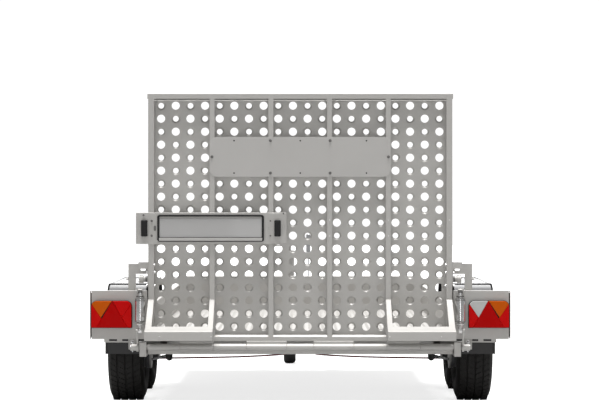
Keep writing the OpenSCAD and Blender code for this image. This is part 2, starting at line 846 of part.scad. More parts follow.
tyre(RIGHT, front_axle_y);  // tyre_front_right
ramp_frame();
ramp_sheets();
ramp_name_plate();
plate_holder();
plate_surround();
number_plate();
prop_feet();
latch_bolts();
hinge_shaft();
canister(LEFT);  // canister_left
canister(RIGHT);  // canister_right
canister_rod(LEFT);  // canister_rod_left
canister_rod(RIGHT);  // canister_rod_right
canister_pins();
jockey_leg();
jockey_fork();
jockey_wheel();
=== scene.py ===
"""Looks of a tandem-axle machinery trailer, seen from behind with its loading ramp stowed upright."""

import json
import math
import random

import bmesh
import bpy
from mathutils import Matrix, Vector


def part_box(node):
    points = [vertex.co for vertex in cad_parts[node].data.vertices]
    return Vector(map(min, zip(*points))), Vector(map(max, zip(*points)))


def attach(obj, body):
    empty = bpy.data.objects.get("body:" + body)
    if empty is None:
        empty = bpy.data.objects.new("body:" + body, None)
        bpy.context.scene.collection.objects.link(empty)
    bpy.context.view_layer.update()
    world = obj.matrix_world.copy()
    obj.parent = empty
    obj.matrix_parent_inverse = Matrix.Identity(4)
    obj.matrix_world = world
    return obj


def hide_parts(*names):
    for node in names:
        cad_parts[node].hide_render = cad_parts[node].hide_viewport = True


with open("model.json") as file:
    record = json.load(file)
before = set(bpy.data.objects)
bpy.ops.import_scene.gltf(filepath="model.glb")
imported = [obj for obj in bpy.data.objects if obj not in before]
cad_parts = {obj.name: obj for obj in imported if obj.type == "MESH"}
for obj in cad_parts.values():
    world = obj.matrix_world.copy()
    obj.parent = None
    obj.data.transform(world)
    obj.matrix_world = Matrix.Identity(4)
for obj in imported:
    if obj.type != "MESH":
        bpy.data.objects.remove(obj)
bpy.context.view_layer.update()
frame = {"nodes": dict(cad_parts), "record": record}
SIDES = (("left", -1), ("right", 1))

# places on the trailer, in metres
MEMBER_START = -2.014
MEMBER_PITCH = 0.5896
MEMBER_FACE_X = 0.704
CANISTER_OUT = 0.037
CANISTER_TOP_Z = 0.630
LEVER_PIN_Z = 0.431
AXLE_AHEAD = 0.150
PLATE_FACE_X = 0.8065


# ---------------------------------------------------------------- shader groups

def group(name, inputs, outputs):
    """An empty shader node group with named sockets; returns it, its input node and its output node."""
    tree = bpy.data.node_groups.new(name, "ShaderNodeTree")
    for label, kind, value in inputs:
        socket = tree.interface.new_socket(name=label, in_out="INPUT", socket_type=kind)
        socket.default_value = value
    for label, kind in outputs:
        tree.interface.new_socket(name=label, in_out="OUTPUT", socket_type=kind)
    return tree, tree.nodes.new("NodeGroupInput"), tree.nodes.new("NodeGroupOutput")


def node(tree, kind, settings=None, **inputs):
    """A node in tree with its settings made and its named inputs set or linked."""
    made = tree.nodes.new("ShaderNode" + kind)
    for key, value in (settings or {}).items():
        setattr(made, key, value)
    for key, value in inputs.items():
        label = key.replace("_", " ")
        socket = made.inputs[int(label[1:])] if label[1:].isdigit() else made.inputs[label]
        if isinstance(value, bpy.types.NodeSocket):
            tree.links.new(value, socket)
        else:
            socket.default_value = value
    return made


def maths(tree, operation, a, b=0.0, clamp=False):
    return node(tree, "Math", {"operation": operation, "use_clamp": clamp}, i0=a, i1=b).outputs[0]


def remap(tree, value, low, high, to_low, to_high):
    return node(tree, "MapRange", None, Value=value, From_Min=low, From_Max=high,
                To_Min=to_low, To_Max=to_high).outputs["Result"]


def noise(tree, where, scale, detail=3.0, rough=0.5):
    return node(tree, "TexNoise", None, Vector=where, Scale=scale,
                Detail=detail, Roughness=rough).outputs["Fac"]


def mix_colour(tree, fac, a, b, mode="MIX"):
    made = tree.nodes.new("ShaderNodeMix")
    made.data_type = "RGBA"
    made.blend_type = mode
    for index, value in ((0, fac), (6, a), (7, b)):
        if isinstance(value, bpy.types.NodeSocket):
            tree.links.new(value, made.inputs[index])
        else:
            made.inputs[index].default_value = value
    return made.outputs[2]


def here(tree):
    return node(tree, "TexCoord").outputs["Object"]


def spangle_group():
    """Zinc crystals: a patchwork of slightly different greys, with faint drawn-out rolling marks."""
    tree, ins, outs = group("zinc spangle", [
        ("Crystals", "NodeSocketFloat", 90.0), ("Contrast", "NodeSocketFloat", 0.1),
        ("Rolling", "NodeSocketFloat", 0.05)],
        [("Tone", "NodeSocketFloat"), ("Height", "NodeSocketFloat"), ("Sheen", "NodeSocketFloat")])
    where = here(tree)
    warp = node(tree, "VectorMath", {"operation": "MULTIPLY_ADD"}, i0=node(
        tree, "TexNoise", None, Vector=where, Scale=40.0, Detail=2.0).outputs["Color"],
        i1=(0.012, 0.012, 0.012), i2=where).outputs[0]
    cells = node(tree, "TexVoronoi", None, Vector=warp, Scale=ins.outputs["Crystals"])
    shade = node(tree, "SeparateColor", None, Color=cells.outputs["Color"]).outputs[0]
    broad = noise(tree, where, 3.2, 4.0, 0.6)
    drawn = node(tree, "Mapping", None, Vector=where, Scale=(6.0, 6.0, 220.0)).outputs[0]
    across = node(tree, "Mapping", None, Vector=where, Scale=(220.0, 6.0, 6.0)).outputs[0]
    lines = maths(tree, "ADD", noise(tree, drawn, 1.0, 2.0), noise(tree, across, 1.0, 2.0))
    tone = maths(tree, "MULTIPLY", maths(tree, "SUBTRACT", shade, 0.5), ins.outputs["Contrast"])
    tone = maths(tree, "ADD", tone, maths(tree, "MULTIPLY", maths(tree, "SUBTRACT", broad, 0.5), 0.35))
    tone = maths(tree, "ADD", tone, maths(tree, "MULTIPLY", maths(tree, "SUBTRACT", lines, 1.0),
                                          ins.outputs["Rolling"]))
    tree.links.new(maths(tree, "ADD", tone, 0.5, True), outs.inputs["Tone"])
    tree.links.new(maths(tree, "ADD", maths(tree, "MULTIPLY", shade, 0.4), noise(tree, where, 260.0)),
                   outs.inputs["Height"])
    tree.links.new(maths(tree, "ADD", maths(tree, "MULTIPLY", shade, 0.3), broad), outs.inputs["Sheen"])
    return tree


def grain_group():
    """Fine moulded or cast grain with broad soft blotches."""
    tree, ins, outs = group("moulded grain", [
        ("Size", "NodeSocketFloat", 700.0), ("Blotch", "NodeSocketFloat", 6.0)],
        [("Tone", "NodeSocketFloat"), ("Height", "NodeSocketFloat")])
    where = here(tree)
    fine = node(tree, "TexNoise", None, Vector=where, Scale=ins.outputs["Size"], Detail=2.0).outputs["Fac"]
    blotch = node(tree, "TexNoise", None, Vector=where, Scale=ins.outputs["Blotch"], Detail=4.0,
                  Roughness=0.65).outputs["Fac"]
    tone = maths(tree, "ADD", maths(tree, "MULTIPLY", fine, 0.3), maths(tree, "MULTIPLY", blotch, 0.7))
    tree.links.new(tone, outs.inputs["Tone"])
    tree.links.new(fine, outs.inputs["Height"])
    return tree


def dust_group():
    """Where dust settles: on faces that look up, broken up by noise, and more towards the ground."""
    tree, ins, outs = group("settled dust", [
        ("Amount", "NodeSocketFloat", 0.3), ("Low", "NodeSocketFloat", 0.0),
        ("High", "NodeSocketFloat", 0.6)],
        [("Mask", "NodeSocketFloat")])
    where = here(tree)
    up = node(tree, "SeparateXYZ", None, Vector=node(tree, "NewGeometry").outputs["Normal"]).outputs["Z"]
    height = node(tree, "SeparateXYZ", None, Vector=where).outputs["Z"]
    near_ground = node(tree, "MapRange", None, Value=height, From_Min=ins.outputs["Low"],
                       From_Max=ins.outputs["High"], To_Min=1.0, To_Max=0.25).outputs["Result"]
    facing = remap(tree, up, -0.2, 1.0, 0.25, 1.0)
    patch = remap(tree, noise(tree, where, 9.0, 6.0, 0.7), 0.35, 0.75, 0.0, 1.0)
    mask = maths(tree, "MULTIPLY", maths(tree, "MULTIPLY", near_ground, facing), patch)
    tree.links.new(maths(tree, "MULTIPLY", mask, ins.outputs["Amount"], True), outs.inputs["Mask"])
    return tree


SPANGLE = spangle_group()
GRAIN = grain_group()
DUST = dust_group()


# ---------------------------------------------------------------- materials

def use(tree, shared, **values):
    """A shared group placed in a material's tree with its own values."""
    made = tree.nodes.new("ShaderNodeGroup")
    made.node_tree = shared
    for label, value in values.items():
        made.inputs[label].default_value = value
    return made


def finish(name, metallic=0.0, coat=0.0, specular=0.5, **sockets):
    """A material with a Principled BSDF whose plain values sit on its own sockets."""
    made = bpy.data.materials.new(name)
    made.use_nodes = True
    tree = made.node_tree
    shader = tree.nodes["Principled BSDF"]
    shader.inputs["Metallic"].default_value = metallic
    shader.inputs["Coat Weight"].default_value = coat
    shader.inputs["Specular IOR Level"].default_value = specular
    for label, value in sockets.items():
        shader.inputs[label.replace("_", " ")].default_value = value
    return made, tree, shader


def bump(tree, shader, height, strength, distance):
    made = node(tree, "Bump", None, Height=height, Strength=strength, Distance=distance)
    tree.links.new(made.outputs["Normal"], shader.inputs["Normal"])


def zinc(name, dark, light, rough, crystals=90.0, contrast=0.1, rolling=0.05, metallic=0.3, dust=0.15):
    """Galvanised or plated steel."""
    made, tree, shader = finish(name, metallic)
    spangle = use(tree, SPANGLE, Crystals=crystals, Contrast=contrast, Rolling=rolling)
    colour = mix_colour(tree, spangle.outputs["Tone"], (*dark, 1), (*light, 1))
    settled = use(tree, DUST, Amount=dust, Low=0.0, High=0.7)
    colour = mix_colour(tree, settled.outputs["Mask"], colour, (0.33, 0.30, 0.26, 1))
    tree.links.new(colour, shader.inputs["Base Color"])
    roughness = remap(tree, spangle.outputs["Sheen"], 0.2, 1.1, rough - 0.06, rough + 0.1)
    tree.links.new(maths(tree, "ADD", roughness, maths(tree, "MULTIPLY", settled.outputs["Mask"], 0.3),
                         True),
                   shader.inputs["Roughness"])
    bump(tree, shader, spangle.outputs["Height"], 0.12, 0.0006)
    return made


def moulded(name, dark, light, rough, size=700.0, bump_strength=0.2, dust=0.2, coat=0.0, specular=0.5,
            dusty=(0.20, 0.18, 0.16), **sockets):
    """Plastic, rubber, paint or casting with a grain."""
    made, tree, shader = finish(name, 0.0, coat, specular, **sockets)
    grain = use(tree, GRAIN, Size=size, Blotch=5.0)
    colour = mix_colour(tree, grain.outputs["Tone"], (*dark, 1), (*light, 1))
    settled = use(tree, DUST, Amount=dust, Low=0.0, High=0.7)
    colour = mix_colour(tree, settled.outputs["Mask"], colour, (*dusty, 1))
    tree.links.new(colour, shader.inputs["Base Color"])
    tree.links.new(remap(tree, grain.outputs["Tone"], 0.2, 0.8, rough - 0.06, rough + 0.08),
                   shader.inputs["Roughness"])
    bump(tree, shader, grain.outputs["Height"], bump_strength, 0.0004)
    return made


def lens(name, dark, light, rough=0.24):
    """Moulded lamp lens with fine prism ribs inside a smooth face."""
    made, tree, shader = finish(name, 0.0, 0.0, 0.05)
    where = here(tree)
    ribs = node(tree, "TexWave", {"bands_direction": "X"}, Vector=where, Scale=95.0).outputs["Fac"]
    rows = node(tree, "TexWave", {"bands_direction": "Z"}, Vector=where, Scale=60.0).outputs["Fac"]
    prism = maths(tree, "MULTIPLY", ribs, rows)
    cloud = noise(tree, where, 14.0)
    tone = maths(tree, "ADD", maths(tree, "MULTIPLY", prism, 0.35), maths(tree, "MULTIPLY", cloud, 0.6),
                 True)
    tree.links.new(mix_colour(tree, tone, (*dark, 1), (*light, 1)), shader.inputs["Base Color"])
    tree.links.new(remap(tree, cloud, 0.3, 0.7, rough - 0.04, rough + 0.08), shader.inputs["Roughness"])
    bump(tree, shader, prism, 0.15, 0.0004)
    return made


GALVANISED = zinc("galvanised steel", (0.37, 0.36, 0.345), (0.47, 0.46, 0.44), 0.50)
RAMP_SHEET = zinc("galvanised ramp sheet", (0.355, 0.345, 0.33), (0.445, 0.435, 0.415),
                  0.48, 70.0, 0.14, 0.07)
DECK_STEEL = zinc("galvanised tread floor", (0.30, 0.29, 0.28), (0.42, 0.41, 0.39),
                  0.42, 60.0, 0.14, 0.1, 0.4, 0.5)
PLATED = zinc("bright zinc plate", (0.52, 0.52, 0.53), (0.72, 0.72, 0.73),
              0.20, 260.0, 0.05, 0.03, 0.9, 0.1)
BOLT = zinc("zinc bolts", (0.50, 0.50, 0.50), (0.78, 0.77, 0.75), 0.26, 400.0, 0.05, 0.02, 0.8, 0.1)
CASTING = moulded("coated casting", (0.10, 0.10, 0.105), (0.17, 0.17, 0.175), 0.5, 420.0, 0.5)
CHROME = zinc("polished plate", (0.62, 0.62, 0.62), (0.76, 0.76, 0.76), 0.12, 260.0, 0.03, 0.02, 0.95, 0.05)
DARK_STEEL = zinc("oiled steel", (0.09, 0.088, 0.085), (0.17, 0.165, 0.16),
                  0.40, 300.0, 0.08, 0.03, 0.6, 0.3)
BLACK_PLASTIC = moulded("black moulded plastic", (0.009, 0.009, 0.0095), (0.014, 0.014, 0.0145),
                        0.48, 900.0, 0.2, 0.1, 0.0, 0.2)
GUARD_PLASTIC = moulded("black mudguard plastic", (0.020, 0.0195, 0.020), (0.028, 0.0275, 0.028),
                        0.50, 900.0, 0.1, 0.12, 0.0, 0.3)
GUARD_CROWN = moulded("glossy mudguard crown", (0.028, 0.028, 0.030), (0.036, 0.036, 0.038),
                      0.40, 900.0, 0.04, 0.05, 1.0,
                     1.0, Coat_Roughness=0.22, Coat_IOR=1.75)
MATT_EDGE = moulded("matt mudguard edge", (0.008, 0.008, 0.008), (0.012, 0.012, 0.012),
                    0.9, 900.0, 0.1, 0.02, 0.0, 0.0)
BLACK_RUBBER = moulded("black rubber", (0.012, 0.012, 0.012), (0.020, 0.020, 0.020),
                       0.66, 600.0, 0.3, 0.15, 0.0, 0.25)
TYRE_RUBBER = moulded("tyre rubber", (0.0125, 0.012, 0.0115), (0.0195, 0.0185, 0.0175),
                      0.72, 500.0, 0.3, 0.1, 0.0, 0.2)
RIM_PAINT = moulded("silver rim paint", (0.40, 0.41, 0.42), (0.50, 0.51, 0.52),
                    0.34, 1200.0, 0.06, 0.3, 0.25)
PANEL = moulded("plain grey panel", (0.405, 0.395, 0.38), (0.455, 0.445, 0.43),
                0.55, 900.0, 0.05, 0.1, 0.0, 0.3)
WHITE_PLATE = moulded("blank reflective plate", (0.36, 0.355, 0.35), (0.42, 0.415, 0.41),
                      0.38, 1500.0, 0.08, 0.1, 0.2, 0.3)
CABLE_SHEATH = moulded("dark red cable sheath", (0.17, 0.006, 0.005), (0.25, 0.010, 0.009),
                       0.50, 900.0, 0.1, 0.1, 0.0, 0.2)
RED_LENS = lens("red lens", (0.44, 0.0015, 0.0015), (0.53, 0.003, 0.003))
DEEP_RED_LENS = lens("deep red triangle lens", (0.34, 0.0002, 0.0002), (0.41, 0.0005, 0.0005))
AMBER_LENS = lens("amber lens", (0.44, 0.072, 0.0015), (0.54, 0.094, 0.002))
CLEAR_LENS = lens("clear reversing lens", (0.40, 0.40, 0.39), (0.50, 0.50, 0.49))
LAMP_GLASS = lens("plate lamp window", (0.40, 0.40, 0.39), (0.6, 0.6, 0.58))
# Flat black that paints the shade seen in holes and gaps; it is not a material of the trailer.
PAINTED_SHADE_BLACK = moulded("painted shade in holes and gaps", (0.004, 0.004, 0.004), (0.006, 0.006, 0.006),
                     0.9, 500.0, 0.0, 0.0, 0.0, 0.05)


# ---------------------------------------------------------------- mesh helpers

class Shape:
    """A mesh under construction: boxes, rods, plates and sweeps are added to it, then it becomes a piece."""

    def __init__(self):
        self.mesh = bmesh.new()
        self.middle = (0.0, 0.0)

    def faces(self, points, loops):
        made = [self.mesh.verts.new(p) for p in points]
        for loop in loops:
            self.mesh.faces.new([made[i] for i in loop])
        return made

    def prism(self, outline, offset, place=Matrix.Identity(4)):
        """A closed prism: an outline of points in a plane, pushed along offset."""
        count = len(outline)
        low = [place @ Vector(p) for p in outline]
        high = [place @ (Vector(p) + Vector(offset)) for p in outline]
        loops = [list(range(count)), [2 * count - 1 - i for i in range(count)]]
        loops += [[(i + 1) % count, i, i + count, (i + 1) % count + count] for i in range(count)]
        return self.faces(low + high, loops)

    def box(self, lo, hi, place=Matrix.Identity(4)):
        outline = [(lo[0], lo[1], lo[2]), (hi[0], lo[1], lo[2]), (hi[0], hi[1], lo[2]),
                   (lo[0], hi[1], lo[2])]
        return self.prism(outline, (0, 0, hi[2] - lo[2]), place)

    def spin(self, profile, centre, axis="X", steps=48, closed=True):
        """A surface of revolution: profile of (along, radius) about an axis through centre."""
        centre = Vector(centre)
        frames = {"X": ((1, 0, 0), (0, 1, 0), (0, 0, 1)), "Y": ((0, 1, 0), (0, 0, 1), (1, 0, 0)),
                  "Z": ((0, 0, 1), (1, 0, 0), (0, 1, 0))}
        if isinstance(axis, str):
            along, side, up = (Vector(v) for v in frames[axis])
        else:
            along = Vector(axis).normalized()
            side = along.orthogonal().normalized()
            up = along.cross(side)
        rings = []
        for distance, radius in profile:
            if radius < 1e-7:
                rings.append([self.mesh.verts.new(centre + along * distance)])
                continue
            rings.append([self.mesh.verts.new(centre + along * distance + radius * (
                side * math.cos(2 * math.pi * k / steps) + up * math.sin(2 * math.pi * k / steps)))
                for k in range(steps)])
        pairs = list(zip(rings, rings[1:] + rings[:1])) if closed else list(zip(rings, rings[1:]))
        for a, b in pairs:
            if len(a) == 1 and len(b) == 1:
                continue
            for k in range(steps):
                m = (k + 1) % steps
                quad = [a[k % len(a)], a[m % len(a)], b[m % len(b)], b[k % len(b)]]
                self.mesh.faces.new(list(dict.fromkeys(quad)))

    def rod(self, start, end, radius, steps=24, bevel=0.0006):
        """A solid round bar with softened ends."""
        start, end = Vector(start), Vector(end)
        length = (end - start).length
        bevel = min(bevel, radius * 0.4, length * 0.4)
        self.spin([(0, 0), (0, radius - bevel), (bevel, radius), (length - bevel, radius),
                   (length, radius - bevel), (length, 0)], start, end - start, steps, False)

    def tube(self, start, end, outer, inner, steps=32):
        start, end = Vector(start), Vector(end)
        length = (end - start).length
        self.spin([(0, inner), (0, outer), (length, outer), (length, inner)], start, end - start, steps)

    def sweep(self, path, radius, steps=10, ends=True):
        """A round cord along a list of points."""
        path = [Vector(p) for p in path]
        rings = []
        side = None
        for i, point in enumerate(path):
            along = (path[min(i + 1, len(path) - 1)] - path[max(i - 1, 0)]).normalized()
            side = (side - along * side.dot(along)).normalized() if side else along.orthogonal().normalized()
            up = along.cross(side)
            rings.append([self.mesh.verts.new(point + radius * (
                side * math.cos(2 * math.pi * k / steps) + up * math.sin(2 * math.pi * k / steps)))
                for k in range(steps)])
        for a, b in zip(rings, rings[1:]):
            for k in range(steps):
                self.mesh.faces.new([a[k], a[(k + 1) % steps], b[(k + 1) % steps], b[k]])
        if ends:
            self.mesh.faces.new(list(reversed(rings[0])))
            self.mesh.faces.new(rings[-1])

    def bolt(self, at, axis, size, washer=True):
        """A hexagon bolt head on a washer at `at`, standing along axis; size is the head's radius."""
        at, axis = Vector(at), Vector(axis).normalized()
        base = 0.0
        if washer:
            base = size * 0.22
            self.spin([(0, 0), (0, size * 1.35), (base * 0.7, size * 1.35), (base, size * 1.25), (base, 0)],
                      at, axis, 20, False)
        self.spin([(base, 0), (base, size), (base + size * 0.55, size), (base + size * 0.7, size * 0.84),
                   (base + size * 0.7, 0)], at, axis, 6, False)

    def weld(self, start, end, radius):
        """A bead of weld: a chain of small overlapping lumps."""
        start, end = Vector(start), Vector(end)
        run = end - start
        count = max(3, int(run.length / (radius * 1.3)))
        path = [start + run * (i / count) for i in range(count + 1)]
        rings = []
        along = run.normalized()
        side = along.orthogonal().normalized()
        up = along.cross(side)
        for i, point in enumerate(path):
            swell = radius * (0.82 + 0.18 * (i % 2)) * (0.5 if i in (0, count) else 1.0)
            rings.append([self.mesh.verts.new(point + swell * (
                side * math.cos(math.pi * k / 4) + up * math.sin(math.pi * k / 4))) for k in range(8)])
        for a, b in zip(rings, rings[1:]):
            for k in range(8):
                self.mesh.faces.new([a[k], a[(k + 1) % 8], b[(k + 1) % 8], b[k]])
        self.mesh.faces.new(list(reversed(rings[0])))
        self.mesh.faces.new(rings[-1])


def piece(name, shape, material, body, replaces=(), bevel=0.0, smooth=35, bevel_angle=40):
    """A finished piece from a Shape, riding on a body."""
    bmesh.ops.recalc_face_normals(shape.mesh, faces=shape.mesh.faces)
    data = bpy.data.meshes.new(name)
    shape.mesh.to_mesh(data)
    shape.mesh.free()
    made = bpy.data.objects.new(name, data)
    bpy.context.collection.objects.link(made)
    materials = material if isinstance(material, (list, tuple)) else [material]
    for entry in materials:
        data.materials.append(entry)
    if bevel:
        modifier = made.modifiers.new("edge", "BEVEL")
        modifier.width = bevel
        modifier.segments = 2
        modifier.limit_method = "ANGLE"
        modifier.angle_limit = math.radians(bevel_angle)
        modifier.harden_normals = False
    for polygon in data.polygons:
        polygon.use_smooth = True
    data.set_sharp_from_angle(angle=math.radians(smooth))
    weighted = made.modifiers.new("normals", "WEIGHTED_NORMAL")
    weighted.keep_sharp = True
    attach(made, body)
    if replaces:
        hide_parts(*replaces)
    return made


def arc(centre, radius, start, end, steps):
    """Points (u, v) along an arc, angles in degrees."""
    return [(centre[0] + radius * math.cos(math.radians(start + (end - start) * i / steps)),
             centre[1] + radius * math.sin(math.radians(start + (end - start) * i / steps)))
            for i in range(steps + 1)]


def rounded(width, height, radius, steps=8):
    """Outline of a rectangle with round corners, centred on zero."""
    u, v = width / 2 - radius, height / 2 - radius
    return (arc((u, v), radius, 0, 90, steps) + arc((-u, v), radius, 90, 180, steps)
            + arc((-u, -v), radius, 180, 270, steps) + arc((u, -v), radius, 270, 360, steps))


BODY_OF = {name: body for body, names in frame["record"]["behaviour"]["bodies"].items() for name in names}


def refined(name, material, bevel=0.0008, smooth=35):
    """A CAD node's own solid with its long flat faces joined and its edges softened."""
    shape = Shape()
    shape.mesh.from_mesh(frame["nodes"][name].data)
    bmesh.ops.remove_doubles(shape.mesh, verts=shape.mesh.verts, dist=0.00002)
    bmesh.ops.dissolve_limit(shape.mesh, angle_limit=math.radians(0.6), verts=shape.mesh.verts,
                             edges=shape.mesh.edges)
    return piece(name + "_finish", shape, material, BODY_OF[name], (name,), bevel, smooth)


# ---------------------------------------------------------------- camera, light and floor

ramp_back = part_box("prop_feet")[1].y

CAMERA_BACK = 11.22
CAMERA_HEIGHT = 1.085
FOCAL_PX = 2240.0


def set_camera():
    data = bpy.data.cameras.new("camera")
    made = bpy.data.objects.new("camera", data)
    bpy.context.collection.objects.link(made)
    data.sensor_width = 36.0
    data.lens = FOCAL_PX * 36.0 / 600.0
    data.shift_x = -0.0004
    data.clip_end = 100.0
    made.location = (0.0, ramp_back - CAMERA_BACK, CAMERA_HEIGHT)
    made.rotation_euler = (math.radians(90.0), 0.0, 0.0)
    bpy.context.scene.camera = made


def add_light(name, kind, energy, place, aim, **settings):
    data = bpy.data.lights.new(name, kind)
    data.energy = energy
    for key, value in settings.items():
        setattr(data, key, value)
    made = bpy.data.objects.new(name, data)
    bpy.context.collection.objects.link(made)
    made.location = place
    made.rotation_euler = (Vector(aim) - Vector(place)).to_track_quat("-Z", "Y").to_euler()
    made.visible_camera = False
    return made


def set_stage():
    shape = Shape()
    shape.faces([(-40, -40, 0), (40, -40, 0), (40, 40, 0), (-40, 40, 0)], [[0, 1, 2, 3]])
    data = bpy.data.meshes.new("floor")
    shape.mesh.to_mesh(data)
    shape.mesh.free()
    floor = bpy.data.objects.new("floor", data)
    bpy.context.collection.objects.link(floor)
    paint, tree, shader = finish("pale floor", 0.0, 0.0, 0.0)
    seen = node(tree, "LightPath").outputs["Is Camera Ray"]
    patchy = mix_colour(tree, noise(tree, here(tree), 0.4), (0.42, 0.42, 0.42, 1), (0.45, 0.45, 0.45, 1))
    tree.links.new(patchy, shader.inputs["Base Color"])
    tree.links.new(maths(tree, "MULTIPLY", seen, 0.80), shader.inputs["Emission Strength"])
    shader.inputs["Emission Color"].default_value = (1, 1, 1, 1)
    shader.inputs["Roughness"].default_value = 0.9
    data.materials.append(paint)

    world = bpy.data.worlds.new("studio")
    bpy.context.scene.world = world
    world.use_nodes = True
    tree = world.node_tree
    tree.nodes["Background"].inputs["Color"].default_value = (1.0, 1.0, 1.0, 1)
    tree.nodes["Background"].inputs["Strength"].default_value = 0.33
    bright = tree.nodes.new("ShaderNodeBackground")
    bright.inputs["Color"].default_value = (1.0, 1.0, 1.0, 1)
    bright.inputs["Strength"].default_value = 1.05
    join = tree.nodes.new("ShaderNodeMixShader")
    tree.links.new(tree.nodes.new("ShaderNodeLightPath").outputs["Is Camera Ray"], join.inputs[0])
    tree.links.new(tree.nodes["Background"].outputs[0], join.inputs[1])
    tree.links.new(bright.outputs[0], join.inputs[2])
    tree.links.new(join.outputs[0], tree.nodes["World Output"].inputs["Surface"])
    bpy.context.scene.view_settings.view_transform = "Standard"
    add_light("overhead", "SUN", 7.0, (0, -0.7, 8), (0, 0, 0), angle=math.radians(25))
    card = add_light("reflection card", "AREA", 620.0, (0, 8.0, 4.6), (0, 0, 4.0), shape="RECTANGLE",
                     size=14.0,
                     size_y=9.0)
    strip = add_light("highlight strip", "AREA", 110.0, (0, -15.5, 2.4), (0, 0, 0.8), shape="RECTANGLE",
                      size=1.5,
                      size_y=7.0)
    card.visible_diffuse = strip.visible_diffuse = False


set_camera()
set_stage()


# ---------------------------------------------------------------- ramp

BAYS, COLUMNS, ROWS = 5, 4, 18
RIB = 0.026
ROW_PITCH = 0.0653
COL_PITCH = 0.0736
PLAIN_R = 0.0205
THROAT_R = 0.0145
COLLAR = 0.006
ROUND = 24


def ramp_sheets():
    """Five perforated sheets; every other hole is drawn out into a collar towards the loading side."""
    lo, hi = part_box("ramp_sheets")
    pitch = COL_PITCH
    low_row = (lo.z + hi.z) / 2 - (ROWS - 1) * ROW_PITCH / 2 + 0.008
    for b in range(BAYS):
        shape = Shape()
        mid = (b - (BAYS - 1) / 2) * COLUMNS * pitch
        half = (COLUMNS * pitch - RIB) / 2
        left, right = (lo.x if b == 0 else mid - half), (hi.x if b == BAYS - 1 else mid + half)
        for c in range(COLUMNS):
            x = mid + (c - (COLUMNS - 1) / 2) * pitch
            x0 = left if c == 0 else x - pitch / 2
            x1 = right if c == COLUMNS - 1 else x + pitch / 2
            for r in range(ROWS):
                z = low_row + r * ROW_PITCH
                z0 = lo.z if r == 0 else z - ROW_PITCH / 2
                z1 = hi.z if r == ROWS - 1 else z + ROW_PITCH / 2
                flanged = (b * COLUMNS + c + r) % 2 == 1
                sheet_cell(shape, (x, z), (x0, x1, z0, z1), lo.y, hi.y, flanged)
        bmesh.ops.remove_doubles(shape.mesh, verts=shape.mesh.verts, dist=0.00005)
        close_edges(shape, lo.y, hi.y)
        piece(f"ramp_sheet_{b + 1}", shape, RAMP_SHEET, "ramp", ("ramp_sheets",), 0.0, 30)


def sheet_cell(shape, centre, limits, back, front, flanged):
    """One hole with the sheet round it, from the hole's rim out to the cell's edges."""
    x0, x1, z0, z1 = limits
    if flanged:
        profile = [(THROAT_R + 0.0085, back), (THROAT_R + 0.0072, back + 0.0007),
                   (THROAT_R + 0.0012, front + 0.003),
                   (THROAT_R, front + COLLAR), (THROAT_R + 0.0022, front + COLLAR),
                   (THROAT_R + 0.0036, front + 0.0036), (THROAT_R + 0.0098, front)]
    else:
        profile = [(PLAIN_R + 0.0004, back), (PLAIN_R, back + 0.0005), (PLAIN_R, front - 0.0005),
                   (PLAIN_R + 0.0004, front)]
    rings = []
    for radius, y in profile:
        rings.append([(centre[0] + radius * math.cos(2 * math.pi * k / ROUND), y,
                       centre[1] + radius * math.sin(2 * math.pi * k / ROUND)) for k in range(ROUND)])
    edge = []
    for k in range(ROUND):
        u, v = math.cos(2 * math.pi * k / ROUND), math.sin(2 * math.pi * k / ROUND)
        reach_x = ((x1 if u > 0 else x0) - centre[0]) / u if abs(u) > 1e-6 else 1e9
        reach_z = ((z1 if v > 0 else z0) - centre[1]) / v if abs(v) > 1e-6 else 1e9
        reach = min(reach_x, reach_z)
        edge.append((centre[0] + u * reach, centre[1] + v * reach))
    rings.insert(0, [(x, back, z) for x, z in edge])
    rings.append([(x, front, z) for x, z in edge])
    made = [[shape.mesh.verts.new(p) for p in ring] for ring in rings]
    for a, b in zip(made, made[1:]):
        for k in range(ROUND):
            m = (k + 1) % ROUND
            shape.mesh.faces.new([a[k], a[m], b[m], b[k]])
    corners = [(x1, z1), (x0, z1), (x0, z0), (x1, z0)]
    for corner in corners:
        for ring, y, order in ((made[0], back, 1), (made[-1], front, -1)):
            angle = math.atan2(corner[1] - centre[1], corner[0] - centre[0]) % (2 * math.pi)
            k = int(angle / (2 * math.pi) * ROUND) % ROUND
            tip = shape.mesh.verts.new((corner[0], y, corner[1]))
            a, b = ring[k], ring[(k + 1) % ROUND]
            if min((a.co - tip.co).length, (b.co - tip.co).length) < 1e-6:
                shape.mesh.verts.remove(tip)
                continue
            shape.mesh.faces.new([a, b, tip][::order])


def close_edges(shape, back, front):
    """Side walls that join the sheet's two faces along their outer edges."""
    def key(vert, y):
        return round(vert.co.x, 5), round(y, 5), round(vert.co.z, 5)
    where = {key(v, v.co.y): v for v in shape.mesh.verts}
    for edge in [e for e in shape.mesh.edges if e.is_boundary]:
        a, b = edge.verts
        if abs(a.co.y - back) < 1e-5 and abs(b.co.y - back) < 1e-5:
            shape.mesh.faces.new([a, b, where[key(b, front)], where[key(a, front)]])


# ---------------------------------------------------------------- tyres and wheels

TREAD_DEPTH = 0.007
SIPE = 0.0045


